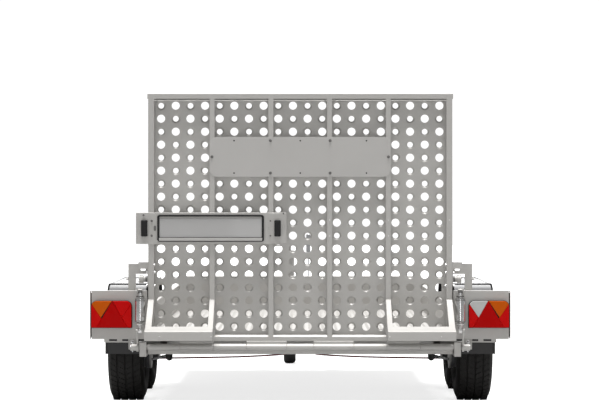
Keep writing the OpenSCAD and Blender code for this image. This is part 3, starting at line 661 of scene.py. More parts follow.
def tyre(end, side):
    """Tyre with four ribs, three round grooves, slanted blocks and a moulded sidewall."""
    name = f"tyre_{end}_{side}"
    lo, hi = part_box(name)
    mid = (lo + hi) / 2
    outer, half = (hi.z - lo.z) / 2, (hi.x - lo.x) / 2
    bead = (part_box(f"wheel_{end}_{side}")[1].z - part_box(f"wheel_{end}_{side}")[0].z) / 2
    groove, rib_edges, steps, crown = 0.0045, (-0.042, 0.0, 0.042), 144, 0.003
    shape = Shape()

    def tread_r(x):
        return outer - crown * (x / half) ** 2

    profile = []
    side_wall = [(-half + 0.030, bead), (-half + 0.012, bead + 0.006), (-half + 0.004, bead + 0.022),
                 (-half + 0.001, bead + 0.045), (-half, bead + 0.062), (-half + 0.003, bead + 0.078),
                 (-half + 0.009, bead + 0.094), (-half + 0.016, outer - 0.015),
                 (-half + 0.024, outer - 0.007),
                 (-half + 0.034, tread_r(half - 0.034) - 0.0015),
                 (-half + 0.040, tread_r(half - 0.04) - SIPE)]
    profile += side_wall
    for x in rib_edges:
        profile += [(x - groove, tread_r(x) - SIPE), (x - groove * 0.55, tread_r(x) - TREAD_DEPTH),
                    (x + groove * 0.55, tread_r(x) - TREAD_DEPTH), (x + groove, tread_r(x) - SIPE)]
    profile += [(-x, r) for x, r in reversed(side_wall)]
    shape.spin(profile, mid, "X", steps, False)
    for out in (-1, 1):
        shape.spin([(out * (half - 0.004), bead + 0.032), (out * (half - 0.0015), bead + 0.035),
                    (out * (half - 0.0025), bead + 0.038)], mid, "X", 96, False)
    piece(f"{name}_rubber", shape, TYRE_RUBBER, BODY_OF[name], (name,), 0.0, 32)
    tread_blocks(end, side, mid, tread_r)


def tread_blocks(end, side, mid, tread_r):
    """Raised blocks with slanted sipes between them, standing on each rib."""
    shape = Shape()
    count = 54
    ribs = [(-0.079, -0.0465, 1.0), (-0.0375, -0.0045, 1.0), (0.0045, 0.0375, -1.0), (0.0465, 0.079, -1.0)]
    step = 2 * math.pi / count
    for r, (x0, x1, slant) in enumerate(ribs):
        for k in range(count):
            start = k * step + (r % 2) * step * 0.5
            points = []
            for x, a in ((x0, 0.06), (x1, 0.06), (x1, 0.94), (x0, 0.94)):
                lean = slant * (x - x0) / (x1 - x0) * 0.55
                points.append((x, start + (a + lean) * step))
            middle = [(x0, points[0][1] + 0.44 * step), (x1, points[1][1] + 0.44 * step)]
            outline = [points[0], points[1], middle[1], points[2], points[3], middle[0]]
            low, high = [], []
            for x, angle in outline:
                base = tread_r(x) - SIPE - 0.0010
                inset = 0.0008 if x > (x0 + x1) / 2 else -0.0008
                low.append(mid + Vector((x, base * math.cos(angle), base * math.sin(angle))))
                top = tread_r(x)
                high.append(mid + Vector((x - inset, top * math.cos(angle), top * math.sin(angle))))
            verts = shape.faces(low + high, [])
            order = [6, 7, 8, 9, 10, 11]
            shape.mesh.faces.new([verts[i] for i in (6, 7, 8, 11)])
            shape.mesh.faces.new([verts[i] for i in (11, 8, 9, 10)])
            for i in range(6):
                shape.mesh.faces.new([verts[i], verts[(i + 1) % 6], verts[order[(i + 1) % 6]],
                                      verts[order[i]]])
    piece(f"tread_{end}_{side}", shape, TYRE_RUBBER, f"{end}_{side}_wheel", (), 0.0, 30)


def wheel(end, side, sign):
    """Pressed steel rim with a dished, slotted disc, wheel bolts, cap and brake drum."""
    name = f"wheel_{end}_{side}"
    lo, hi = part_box(f"tyre_{end}_{side}")
    mid = (lo + hi) / 2
    rim_r = (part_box(name)[1].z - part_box(name)[0].z) / 2
    out = sign
    shape = Shape()
    half = 0.070
    barrel = [(-half, rim_r + 0.006), (-half + 0.004, rim_r + 0.007), (-half + 0.010, rim_r - 0.001),
              (-half + 0.026, rim_r - 0.004), (-half + 0.034, rim_r - 0.018), (half - 0.040, rim_r - 0.018),
              (half - 0.030, rim_r - 0.004), (half - 0.010, rim_r - 0.001), (half - 0.004, rim_r + 0.007),
              (half, rim_r + 0.006), (half - 0.006, rim_r - 0.004), (half - 0.028, rim_r - 0.008),
              (half - 0.038, rim_r - 0.022), (-half + 0.032, rim_r - 0.022), (-half + 0.024, rim_r - 0.008),
              (-half + 0.006, rim_r - 0.004)]
    shape.spin([(out * x, r) for x, r in barrel], mid, "X", 72)
    steps, slots = 80, 10
    dish = [(0.008, rim_r - 0.020), (0.004, rim_r - 0.034), (0.012, rim_r - 0.044), (0.016, rim_r - 0.062),
            (0.012, rim_r - 0.072), (0.002, 0.078), (-0.002, 0.070), (0.0, 0.034)]
    for face in (0.0, -0.005):
        rings = [[shape.mesh.verts.new(mid + Vector((out * (x + face),
                                                     r * math.cos(2 * math.pi * k / steps),
                                                     r * math.sin(2 * math.pi * k / steps))))
                  for k in range(steps)] for x, r in dish]
        for i, (a, b) in enumerate(zip(rings, rings[1:])):
            for k in range(steps):
                if i == 2 and (k * slots * 2 // steps) % 2 == 0:
                    continue
                m = (k + 1) % steps
                shape.mesh.faces.new([a[k], a[m], b[m], b[k]])
        if face == 0.0:
            front = rings
    close_slots(shape, front, rings, steps, slots)
    shape.spin([(out * 0.0, 0.033), (out * 0.022, 0.033), (out * 0.030, 0.029), (out * 0.034, 0.018),
                (out * 0.035, 0.0)], mid, "X", 40, False)
    piece(f"{name}_rim", shape, RIM_PAINT, BODY_OF[name], (name,), 0.0, 34)
    nuts = Shape()
    for k in range(5):
        angle = 2 * math.pi * k / 5
        at = mid + Vector((out * -0.002, 0.056 * math.cos(angle), 0.056 * math.sin(angle)))
        nuts.bolt(at, (out, 0, 0), 0.0095)
    piece(f"{name}_bolts", nuts, BOLT, BODY_OF[name], ())
    drum = Shape()
    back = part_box(name)[0].x if out > 0 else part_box(name)[1].x
    reach = (mid.x - back) * out
    drum.spin([(-out * reach, 0.024), (-out * reach, 0.108), (-out * (reach - 0.004), 0.110),
               (-out * (reach - 0.016), 0.110), (-out * (reach - 0.020), 0.104), (-out * 0.020, 0.104),
               (-out * 0.010, 0.094), (-out * 0.006, 0.060), (-out * 0.006, 0.024)], mid, "X", 64)
    piece(f"{name}_drum", drum, CASTING, BODY_OF[name], (), 0.0, 34)


def close_slots(shape, front, back, steps, slots):
    """Walls through the disc round each of its slots."""
    for k in range(steps):
        m = (k + 1) % steps
        if (k * slots * 2 // steps) % 2 == 0:
            for i in (2, 3):
                shape.mesh.faces.new([front[i][k], front[i][m], back[i][m], back[i][k]])
            for j, other in ((k, k - 1), (m, m)):
                if (other % steps * slots * 2 // steps) % 2:
                    shape.mesh.faces.new([front[2][j], front[3][j], back[3][j], back[2][j]])


for end in ("rear", "front"):
    for side, sign in SIDES:
        tyre(end, side)
        wheel(end, side, sign)

ramp_sheets()


# ---------------------------------------------------------------- lamps

def lamp_outline(width, height, radius, steps=10):
    """Square lower corners, round upper corners, centred; listed anticlockwise from the lower left."""
    u, v = width / 2, height / 2
    return ([(-u, -v), (u, -v)] + arc((u - radius, v - radius), radius, 0, 90, steps)
            + arc((-u + radius, v - radius), radius, 90, 180, steps))


def clip(outline, a, b):
    """The part of a convex outline to the left of the line from a to b."""
    def beside(p):
        return (b[0] - a[0]) * (p[1] - a[1]) - (b[1] - a[1]) * (p[0] - a[0])
    kept = []
    for p, q in zip(outline, outline[1:] + outline[:1]):
        s, t = beside(p), beside(q)
        if s >= 0:
            kept.append(p)
        if s * t < 0:
            kept.append((p[0] + (q[0] - p[0]) * s / (s - t), p[1] + (q[1] - p[1]) * s / (s - t)))
    return kept


def shrink(outline, by):
    """A convex outline moved towards its middle, for the gap between two lens fields."""
    cx = sum(p[0] for p in outline) / len(outline)
    cz = sum(p[1] for p in outline) / len(outline)
    size = max(math.hypot(p[0] - cx, p[1] - cz) for p in outline)
    return [(cx + (p[0] - cx) * (1 - by / size), cz + (p[1] - cz) * (1 - by / size)) for p in outline]


def lens_field(name, outline, mid, y, depth, material):
    shape = Shape()
    points = [(mid.x + u, y, mid.z + v) for u, v in outline]
    shape.prism(points, (0, -depth, 0))
    return piece(name, shape, material, "chassis", (), 0.0012, 30)


def rear_lamp(side, sign):
    """Black tray with a moulded lens: a central triangle and fields of other colours beside it."""
    lo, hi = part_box("rear_lamps")
    width, height = 0.200, hi.z - lo.z
    outer_edge = hi.x if sign > 0 else lo.x
    mid = Vector((outer_edge - sign * width / 2, lo.y, (lo.z + hi.z) / 2))
    back = hi.y
    tray = Shape()
    tray.prism([(mid.x + u, back, mid.z + v) for u, v in lamp_outline(width + 0.006, height + 0.005,
                                                                      0.031)],
               (0, -(back - lo.y) * 0.55, 0))
    piece(f"lamp_tray_{side}", tray, BLACK_PLASTIC, "chassis", ("rear_lamps",), 0.002)
    outline = lamp_outline(width, height, 0.028)
    low, top = -height / 2, height / 2
    apex = (0.004 * sign * -1, top)
    left_foot = (apex[0] - 0.078, low)
    right_foot = (apex[0] + 0.078, low)
    triangle = [left_foot, right_foot, apex]
    left = clip(outline, left_foot, apex)
    right = clip(outline, apex, right_foot)
    face, gap = back - (back - lo.y) * 0.4, 0.0006
    lens_field(f"lamp_{side}_middle", shrink(triangle, gap), mid, face, face - lo.y, DEEP_RED_LENS)
    for which, field, far in (("left", left, -1), ("right", right, 1)):
        point = (far * 0.052, top - 0.083)
        a = (far * 0.0965, top - 0.018)
        b = (apex[0] + far * 0.002, top)
        inner = clip(field, point, b) if far < 0 else clip(field, b, point)
        wedge = clip(inner, a, point) if far < 0 else clip(inner, point, a)
        rest = clip(field, point, a) if far < 0 else clip(field, a, point)
        colour = AMBER_LENS if far == sign else (CLEAR_LENS if side == "right" else RED_LENS)
        if len(wedge) > 2:
            lens_field(f"lamp_{side}_{which}_field", shrink(wedge, gap), mid, face, face - lo.y - 0.0005,
                       colour)
        if len(rest) > 2:
            lens_field(f"lamp_{side}_{which}_red", shrink(rest, gap), mid, face, face - lo.y - 0.001,
                       RED_LENS)


for side, sign in SIDES:
    rear_lamp(side, sign)


# ---------------------------------------------------------------- details on the ramp

RAMP_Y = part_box("ramp_name_plate")[1].y
HINGE = Vector((0, RAMP_Y - 0.010, 0.348))
DECK_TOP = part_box("floor_sheet")[1].z
HALF_RAMP = 0.762


def disc(shape, at, axis, radius, thick=0.0006, steps=20):
    at, axis = Vector(at), Vector(axis)
    shape.spin([(0, 0), (0, radius), (thick, radius), (thick, 0)], at, axis, steps, False)


def ring(shape, at, axis, radius, wire, steps=28, turns=1.0, rise=0.0):
    """A round wire bent into a ring or, with rise, into a coil along axis."""
    axis = Vector(axis).normalized()
    side = axis.orthogonal().normalized()
    up = axis.cross(side)
    count = int(steps * turns)
    path = [Vector(at) + axis * (rise * i / count) + radius * (
        side * math.cos(2 * math.pi * turns * i / count) + up * math.sin(2 * math.pi * turns * i / count))
        for i in range(count + 1)]
    shape.sweep(path, wire, 8)


def name_plate_parts():
    lo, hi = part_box("ramp_name_plate")
    mid = (lo + hi) / 2
    bolts, hole_shade = Shape(), Shape()
    spots = [(-0.442, 0), (0.442, 0)] + [(u, v) for u in (-0.1495, 0.1495) for v in (-0.081, 0.081)]
    for u, v in spots:
        bolts.bolt((mid.x + u, lo.y, mid.z + v), (0, -1, 0), 0.0055)
    # Black discs on the plate where its holes are: painted shade standing in for the view through them.
    for u in (-0.3315, 0.0, 0.3315):
        for v in (-0.081, 0.081):
            disc(hole_shade, (mid.x + u, lo.y - 0.0001, mid.z + v), (0, -1, 0), 0.0038, 0.0004)
    piece("name_plate_bolts", bolts, DARK_STEEL, "ramp", ())
    piece("name_plate_hole_shade", hole_shade, PAINTED_SHADE_BLACK, "ramp", ())


def framed(shape, outer, inner, lift, front, depth):
    """A rounded outline with a rounded opening raised by lift, between two depths, in metres."""
    a = [(u, v) for u, v in rounded(*outer)]
    b = [(u, v + lift) for u, v in rounded(*inner)]
    x, z = shape.middle
    count = len(a)
    rings = [[shape.mesh.verts.new((x + u, y, z + v)) for u, v in loop]
             for loop, y in ((a, front), (b, front), (b, front + depth), (a, front + depth))]
    for first, second in zip(rings, rings[1:] + rings[:1]):
        for k in range(count):
            m = (k + 1) % count
            shape.mesh.faces.new([first[k], first[m], second[m], second[k]])


def plate_holder_parts():
    lo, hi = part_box("plate_holder")
    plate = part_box("number_plate")
    face = lo.y
    mid_x = (plate[0].x + plate[1].x) / 2
    mid_z = (lo.z + hi.z) / 2
    frame_shape = Shape()
    frame_shape.middle = (mid_x, mid_z)
    framed(frame_shape, (0.534, 0.134, 0.012), (0.512, 0.103, 0.004), 0.007, face - 0.008, 0.008)
    piece("number_plate_frame", frame_shape, BLACK_PLASTIC, "ramp", ("plate_surround",),
          0.001)
    strip = Shape()
    strip.box((mid_x - 0.258, face - 0.0092, mid_z - 0.0625),
              (mid_x + 0.258, face - 0.0075, mid_z - 0.0475))
    piece("number_plate_strip", strip, PANEL, "ramp", (), 0.0005)
    lamps, glass, bolts, keyhole_shade = Shape(), Shape(), Shape(), Shape()
    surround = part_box("plate_surround")
    for end, out in ((surround[0].x, -1), (surround[1].x, 1)):
        x = end - out * 0.016
        outline = [(x + u, face, mid_z + v) for u, v in rounded(0.032, 0.082, 0.006, 5)]
        lamps.prism(outline, (0, -0.022, 0))
        hood = [(x + u, face - 0.022, mid_z + v) for u, v in rounded(0.026, 0.076, 0.006, 5)]
        lamps.prism(hood, (0, -0.007, 0))
        glass.box((x - out * 0.0165 - 0.0008, face - 0.020, mid_z - 0.030),
                  (x - out * 0.0165 + 0.0008, face - 0.006, mid_z + 0.030))
        near = x - out * 0.036
        for v in (-0.037, 0.037):
            bolts.bolt((near, face, mid_z + v), (0, -1, 0), 0.0045)
        if out < 0:
            # The keyhole is a thin dark lozenge on the face: painted shade standing in for its opening.
            key = [(x - out * 0.052 + u, face, mid_z + v) for u, v in rounded(0.012, 0.026, 0.0055, 5)]
            keyhole_shade.prism(key, (0, -0.0008, 0))
        else:
            ring(bolts, (x - out * 0.032, face - 0.0004, mid_z), (0, 1, 0), 0.012, 0.0005, 28)
    for x, v in ((lo.x + 0.038, 0.066), (hi.x - 0.012, 0.073)):
        bolts.bolt((x, face, mid_z + v), (0, -1, 0), 0.004)
    piece("plate_lamps", lamps, BLACK_PLASTIC, "ramp", (), 0.0012)
    piece("plate_lamp_windows", glass, LAMP_GLASS, "ramp", ())
    piece("plate_holder_bolts", bolts, DARK_STEEL, "ramp", ())
    piece("plate_holder_keyhole_shade", keyhole_shade, DARK_STEEL, "ramp", (), 0.0004)
    fold = Shape()
    fold.box((lo.x, face, lo.z), (lo.x + 0.0025, face + 0.016, hi.z))
    fold.box((hi.x - 0.085, face - 0.0015, lo.z + 0.004), (hi.x + 0.003, face + 0.0005, hi.z - 0.003))
    piece("plate_holder_folds", fold, GALVANISED, "ramp", (), 0.0006)


def ramp_parts():
    bolts, beads = Shape(), Shape()
    for side, sign in SIDES:
        for z in (0.760, 0.7215, 0.656):
            for x, way in ((HALF_RAMP - 0.030, -1), (HALF_RAMP + 0.004, 1)):
                bolts.bolt((sign * x, RAMP_Y + 0.013, z), (sign * way, 0, 0), 0.0065)
        for z in (0.905, 0.985):
            bolts.bolt((sign * (HALF_RAMP - 0.015), RAMP_Y, z), (0, -1, 0), 0.003, False)
    sheet_lo, sheet_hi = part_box("ramp_sheets")
    for x in (-0.4416, -0.1472, 0.1472, 0.4416):
        for z in (0.905, 0.985):
            if x > -0.1:
                bolts.bolt((x, RAMP_Y, z), (0, -1, 0), 0.003, False)
        for edge in (-0.013, 0.013):
            for z in (sheet_lo.z, sheet_hi.z):
                beads.weld((x + edge, RAMP_Y + 0.002, z), (x + edge, sheet_lo.y - 0.002, z), 0.0028)
    for x in (-HALF_RAMP + 0.030, HALF_RAMP - 0.030):
        for z in (sheet_lo.z, sheet_hi.z):
            beads.weld((x, RAMP_Y + 0.002, z), (x, sheet_lo.y - 0.002, z), 0.003)
    folds = Shape()
    for i in range(BAYS):
        x0 = -HALF_RAMP + 0.030 if i == 0 else (i - BAYS / 2) * COLUMNS * COL_PITCH + RIB / 2
        x1 = HALF_RAMP - 0.030 if i == BAYS - 1 else (i + 1 - BAYS / 2) * COLUMNS * COL_PITCH - RIB / 2
        for z in (sheet_lo.z, sheet_hi.z - 0.009):
            folds.prism([(x0, RAMP_Y + 0.0005, z), (x0, RAMP_Y + 0.0085, z + 0.009),
                         (x0, RAMP_Y + 0.011, z + 0.009),
                         (x0, RAMP_Y + 0.003, z)], (x1 - x0, 0, 0))
    piece("ramp_sheet_folds", folds, GALVANISED, "ramp", ())
    foot_lo, foot_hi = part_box("prop_feet")
    for side, sign in SIDES:
        for x in (HALF_RAMP - 0.030, HALF_RAMP, HALF_RAMP - 0.328, HALF_RAMP - 0.302):
            beads.weld((sign * x, RAMP_Y - 0.001, foot_hi.z - 0.033), (sign * x, RAMP_Y - 0.001, foot_hi.z),
                       0.0022)
        beads.weld((sign * (HALF_RAMP - 0.300), RAMP_Y - 0.001, 0.4465),
                   (sign * (HALF_RAMP - 0.032), RAMP_Y - 0.001, 0.4465), 0.0022)
        bolts.bolt((sign * (HALF_RAMP - 0.075), foot_lo.y, 0.418), (0, -1, 0), 0.0032, False)
        bolts.bolt((sign * (HALF_RAMP - 0.325), foot_lo.y, 0.418), (0, -1, 0), 0.0032, False)
    piece("ramp_bolts", bolts, BOLT, "ramp", ())
    piece("ramp_welds", beads, GALVANISED, "ramp", (), 0.0, 60)


def latch_parts():
    """The springs and pull knobs of the two bolts that lock the ramp."""
    for side, sign in SIDES:
        coil, handle = Shape(), Shape()
        y, z = RAMP_Y + 0.022, HINGE.z + 0.340
        ring(coil, (sign * (HALF_RAMP + 0.027), y, z), (sign, 0, 0), 0.0155, 0.0017, 20, 3, 0.021)
        handle.rod((sign * (HALF_RAMP + 0.003), y, z), (sign * (HALF_RAMP + 0.015), y, z), 0.0145, 28)
        handle.rod((sign * (HALF_RAMP + 0.024), y, z), (sign * (HALF_RAMP + 0.0265), y, z), 0.018, 28)
        handle.rod((sign * (HALF_RAMP + 0.100), y, z), (sign * (HALF_RAMP + 0.110), y, z), 0.0028, 12)
        piece(f"latch_spring_{side}", coil, DARK_STEEL, "ramp", ())
        piece(f"latch_handle_{side}", handle, DARK_STEEL, "ramp", ())


def shaft_parts():
    pins = Shape()
    for side, sign in SIDES:
        x = 0.839
        pins.rod((sign * x, HINGE.y, HINGE.z - 0.024), (sign * x, HINGE.y, HINGE.z + 0.026), 0.0028, 12)
        ring(pins, (sign * x, HINGE.y, HINGE.z + 0.028), (0, 1, 0), 0.008, 0.0014, 24)
        disc(pins, (sign * 0.849, HINGE.y, HINGE.z), (sign, 0, 0), 0.0105, 0.0012, 24)
    piece("shaft_pins", pins, PLATED, "ramp", ())


# ---------------------------------------------------------------- spring canisters

def canister(side, sign):
    """Spring canister with end caps, a clamp ring and its rod's knuckle."""
    name = f"canister_{side}"
    x = sign * (HALF_RAMP + CANISTER_OUT)
    top = Vector((x, HINGE.y - 0.022, CANISTER_TOP_Z))
    low = Vector((x, HINGE.y - 0.035, LEVER_PIN_Z))
    down = (low - top).normalized()
    length = (low - top).length
    body = Shape()
    body.spin([(0.034, 0.0), (0.034, 0.019), (0.037, 0.0235), (0.041, 0.025), (length - 0.050, 0.025),
               (length - 0.046, 0.0235), (length - 0.043, 0.018), (length - 0.043, 0.0)], top, down, 48,
               False)
    body.rod(top + down * 0.008, top + down * 0.036, 0.0105, 28)
    piece(f"{name}_body", body, CHROME, BODY_OF[name], (name,), 0.0, 30)
    eyes = Shape()
    eyes.rod((x - 0.011, top.y, top.z), (x + 0.011, top.y, top.z), 0.0135, 32)
    ring(eyes, top + down * 0.026, down, 0.0165, 0.0042, 28)
    for at in (0.037, 0.046, length - 0.052):
        eyes.spin([(at, 0.024), (at + 0.001, 0.0262), (at + 0.004, 0.0262), (at + 0.005, 0.024)], top, down,
                  48)
    piece(f"{name}_rings", eyes, DARK_STEEL, BODY_OF[name], (), 0.0005)
    rod = Shape()
    rod.rod(top + down * 0.018, top + down * (length - 0.006), 0.0078, 24)
    rod.spin([(length - 0.032, 0.008), (length - 0.032, 0.0115), (length - 0.020, 0.0115),
              (length - 0.020, 0.008)],
             top, down, 6)
    rod.rod((x - 0.009, low.y, low.z), (x + 0.009, low.y, low.z), 0.0128, 32)
    rod.spin([(length - 0.038, 0.008), (length - 0.038, 0.019), (length - 0.034, 0.0215),
              (length - 0.030, 0.019),
              (length - 0.030, 0.008)], top, down, 40)
    piece(f"canister_rod_{side}_knuckle", rod, BOLT, BODY_OF[f"canister_rod_{side}"],
          (f"canister_rod_{side}",),
          0.0005)


# ---------------------------------------------------------------- lamp boxes and mudguards

def lamp_box(side, sign):
    """Folded box with open corner seams backed by a black strip of painted shade, drain slots in its shelf
    and its lamp's cable gland.
    """
    name = f"lamp_box_{side}"
    lo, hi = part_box(name)
    low = 0.388
    inner, outer = HALF_RAMP + 0.006, max(abs(lo.x), abs(hi.x))
    shape = Shape()

    def slab(x0, x1, y0, y1, z0, z1):
        a, b = sorted((sign * x0, sign * x1))
        shape.box((a, y0, z0), (b, y1, z1))
    sheet, seam = 0.004, 0.005
    slab(inner, outer - sheet - seam, lo.y, lo.y + sheet, low, hi.z)
    slab(outer - sheet, outer, lo.y - 0.0005, hi.y, low + 0.001, hi.z - 0.001)
    slab(inner, inner + sheet, lo.y + sheet, hi.y, low, hi.z)
    slab(inner, outer - 0.010, lo.y + sheet, hi.y, hi.z - sheet, hi.z)
    slab(inner, outer - 0.010, lo.y + sheet, hi.y, low, low + sheet)
    shelf = [(0.765 + 0.051, 0.765 + 0.221)]
    for x0, x1 in shelf:
        edges = [x0, 0.855, 0.895, 0.9207, 0.9607, x1]
        for a, b, solid in ((0, 1, True), (1, 2, False), (2, 3, True), (3, 4, False), (4, 5, True)):
            if solid:
                slab(edges[a], edges[b], hi.y - sheet, hi.y, low - 0.019, low)
            else:
                slab(edges[a], edges[b], hi.y - sheet, hi.y, low - 0.019, low - 0.012)
    piece(f"{name}_folded", shape, GALVANISED, "chassis", (name,), 0.0008)
    # A black strip inside the box, just behind the open corner seam: painted shade in the gap.
    dark = Shape()
    a, b = sorted((sign * (outer - sheet - seam - 0.004), sign * (outer - sheet)))
    dark.box((a, lo.y + 0.006, low + 0.011), (b, lo.y + 0.008, hi.z - 0.011))
    piece(f"{name}_seam", dark, PAINTED_SHADE_BLACK, "chassis", ())
    gland = Shape()
    gx = sign * (inner + 0.05)
    gland.rod((gx, lo.y + 0.012, low + 0.10), (gx, lo.y + 0.030, low + 0.10), 0.010)
    piece(f"{name}_gland", gland, BLACK_RUBBER, "chassis", (), 0.0, 40)


def arch_points(inset, drop, steps=14):
    """The mudguard's side outline in y and z from its rear lower end over the top, drawn inset inwards."""
    lo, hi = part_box("mudguard_right")
    radius = 0.240
    y0, y1, top = lo.y + inset, hi.y - inset, hi.z - drop
    r = radius - inset
    return ([(y0, lo.z)] + [(y, z) for y, z in arc((y0 + r, top - r), r, 180, 90, steps)]
            + [(y, z) for y, z in arc((y1 - r, top - r), r, 90, 0, steps)] + [(y1, lo.z)])


def mudguard(side, sign):
    """Moulded mudguard: crowned skin with rolled rims, two cross ribs and an inner skirt."""
    name = f"mudguard_{side}"
    lo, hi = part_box(name)
    inner, outer = min(abs(lo.x), abs(hi.x)), max(abs(lo.x), abs(hi.x))
    shape = Shape()
    stations = [(inner, 0.0215), (inner, 0.0), (inner + 0.007, 0.0), (inner + 0.008, 0.006),
                (inner + 0.010, 0.006),
                (outer - 0.010, 0.006), (outer - 0.008, 0.006), (outer - 0.007, 0.0), (outer, 0.0),
                (outer, 0.0215),
                (outer - 0.004, 0.0215), (outer - 0.004, 0.009), (inner + 0.004, 0.009),
                (inner + 0.004, 0.0215)]
    rows = []
    for x, inset in stations:
        rows.append([shape.mesh.verts.new((sign * x, y, z)) for y, z in arch_points(inset, inset)])
    count = len(rows[0])
    for which, (a, b) in enumerate(zip(rows, rows[1:] + rows[:1])):
        for k in range(count - 1):
            made = shape.mesh.faces.new([a[k], a[k + 1], b[k + 1], b[k]])
            middle = made.calc_center_median()
            if which <= 8 and middle.z > hi.z - 0.085:
                flat = lo.y + 0.23 < middle.y < hi.y - 0.23
                made.material_index = 1 if flat or 3 <= which <= 5 else 2
    for end in (0, count - 1):
        shape.mesh.faces.new([row[end] for row in rows])
    piece(f"{name}_moulded", shape, [GUARD_PLASTIC, GUARD_CROWN, MATT_EDGE], "chassis", (name,),
          0.0, 25)
    ribs = Shape()
    for y, way in ((lo.y + 0.240, 1), (hi.y - 0.240, -1)):
        a, b = sorted((sign * (inner + 0.008), sign * (outer - 0.008)))
        ribs.box((a, y, hi.z - 0.008), (b, y + way * 0.004, hi.z - (0 if way > 0 else 0.002)))
    piece(f"{name}_ribs", ribs, MATT_EDGE, "chassis", (), 0.0008)
    bolts = Shape()
    mid_y = (lo.y + hi.y) / 2
    for y, z, axis in ((lo.y + 0.010, 0.335, (0, -1, 0)), (lo.y + 0.010, 0.372, (0, -1, 0)),
                       (hi.y - 0.010, 0.335, (0, 1, 0)), (hi.y - 0.010, 0.372, (0, 1, 0))):
        bolts.bolt((sign * (inner + 0.020), y + axis[1] * 0.005, z), axis, 0.006)
    for y in (mid_y - 0.015, mid_y + 0.015):
        bolts.bolt((sign * (inner + 0.018), y, hi.z - 0.006), (0, 0, 1), 0.006)
    piece(f"{name}_bolts", bolts, BOLT, "chassis", ())


# ---------------------------------------------------------------- deck, chassis and axle details

def tread_floor():
    """Raised lozenges in two directions over the deck floor."""
    lo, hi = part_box("floor_sheet")
    shape = Shape()
    step_x, step_y = 0.0345, 0.0345
    nx, ny = int((hi.x - lo.x - 0.06) / step_x), int((hi.y - lo.y - 0.06) / step_y)
    x0, y0 = -(nx - 1) * step_x / 2, (lo.y + hi.y) / 2 - (ny - 1) * step_y / 2
    for i in range(nx):
        for j in range(ny):
            turn = 1 if (i + j) % 2 else -1
            long, wide = Vector((0.0115, 0.0115 * turn)), Vector((-0.0034 * turn, 0.0034))
            at = Vector((x0 + i * step_x, y0 + j * step_y))
            rim = [at + long, at + wide, at - long, at - wide]
            verts = [shape.mesh.verts.new((p.x, p.y, hi.z - 0.0002)) for p in rim]
            ridge = [shape.mesh.verts.new(((at + long * f).x, (at + long * f).y,
                                           hi.z + 0.0018)) for f in (0.45, -0.45)]
            for loop in ((0, 1, 4), (1, 5, 4), (1, 2, 5), (2, 3, 5), (3, 4, 5), (3, 0, 4)):
                pts = [(verts + ridge)[k] for k in loop]
                shape.mesh.faces.new(pts)
    piece("floor_tread", shape, DECK_STEEL, "chassis", (), 0.0, 20)


def wall_parts():
    """Stiffening pleats, rope hooks and side reflectors on the low side walls, and marker lamps on the front
    board.
    """
    pleats, hooks, amber, rims = Shape(), Shape(), Shape(), Shape()
    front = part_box("floor_sheet")[1].y
    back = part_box("floor_sheet")[0].y
    for side, sign in SIDES:
        for i in range(9):
            y = back + 0.25 + i * (front - back - 0.5) / 8
            a, b = sorted((sign * 0.7645, sign * 0.7705))
            pleats.box((a, y - 0.014, DECK_TOP + 0.012), (b, y + 0.014, DECK_TOP + 0.118))
        for y in (back + 0.42, front - 1.05, front - 0.62, front - 0.20):
            x = sign * 0.791
            hooks.sweep([(x - sign * 0.002, y, DECK_TOP + 0.135), (x + sign * 0.022, y, DECK_TOP + 0.132),
                         (x + sign * 0.024, y, DECK_TOP + 0.112), (x + sign * 0.012, y, DECK_TOP + 0.100)],
                         0.0045, 10)
        for y in (back + 0.18, front - 0.78, front - 0.12):
            at = (sign * 0.7655, y, DECK_TOP + 0.062)
            rims.rod(at, (sign * 0.7735, y, DECK_TOP + 0.062), 0.032, 32)
            amber.rod((sign * 0.7735, y, DECK_TOP + 0.062), (sign * 0.7765, y, DECK_TOP + 0.062), 0.029, 32)
    piece("wall_pleats", pleats, GALVANISED, "chassis", (), 0.0025)
    piece("rope_hooks", hooks, GALVANISED, "chassis", ())
    piece("side_reflector_rims", rims, BLACK_PLASTIC, "chassis", ())
    piece("side_reflectors", amber, AMBER_LENS, "chassis", (), 0.0008)
    lights = Shape()
    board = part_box("front_board")
    for sign in (-1, 1):
        outline = [(sign * 0.715 + u, board[1].y, DECK_TOP + 0.105 + v) for u,
                   v in rounded(0.062, 0.044, 0.008, 5)]
        lights.prism(outline, (0, 0.016, 0))
    piece("front_markers", lights, CLEAR_LENS, "chassis", (), 0.002)


def board_ribs():
    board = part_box("front_board")
    ribs = Shape()
    for x in (-0.56, -0.28, 0.0, 0.28, 0.56):
        ribs.box((x - 0.016, board[0].y + 0.0035, 0.420), (x + 0.016, board[0].y + 0.012, 0.560))
    piece("front_board_pleats", ribs, GALVANISED, "chassis", (), 0.0035)


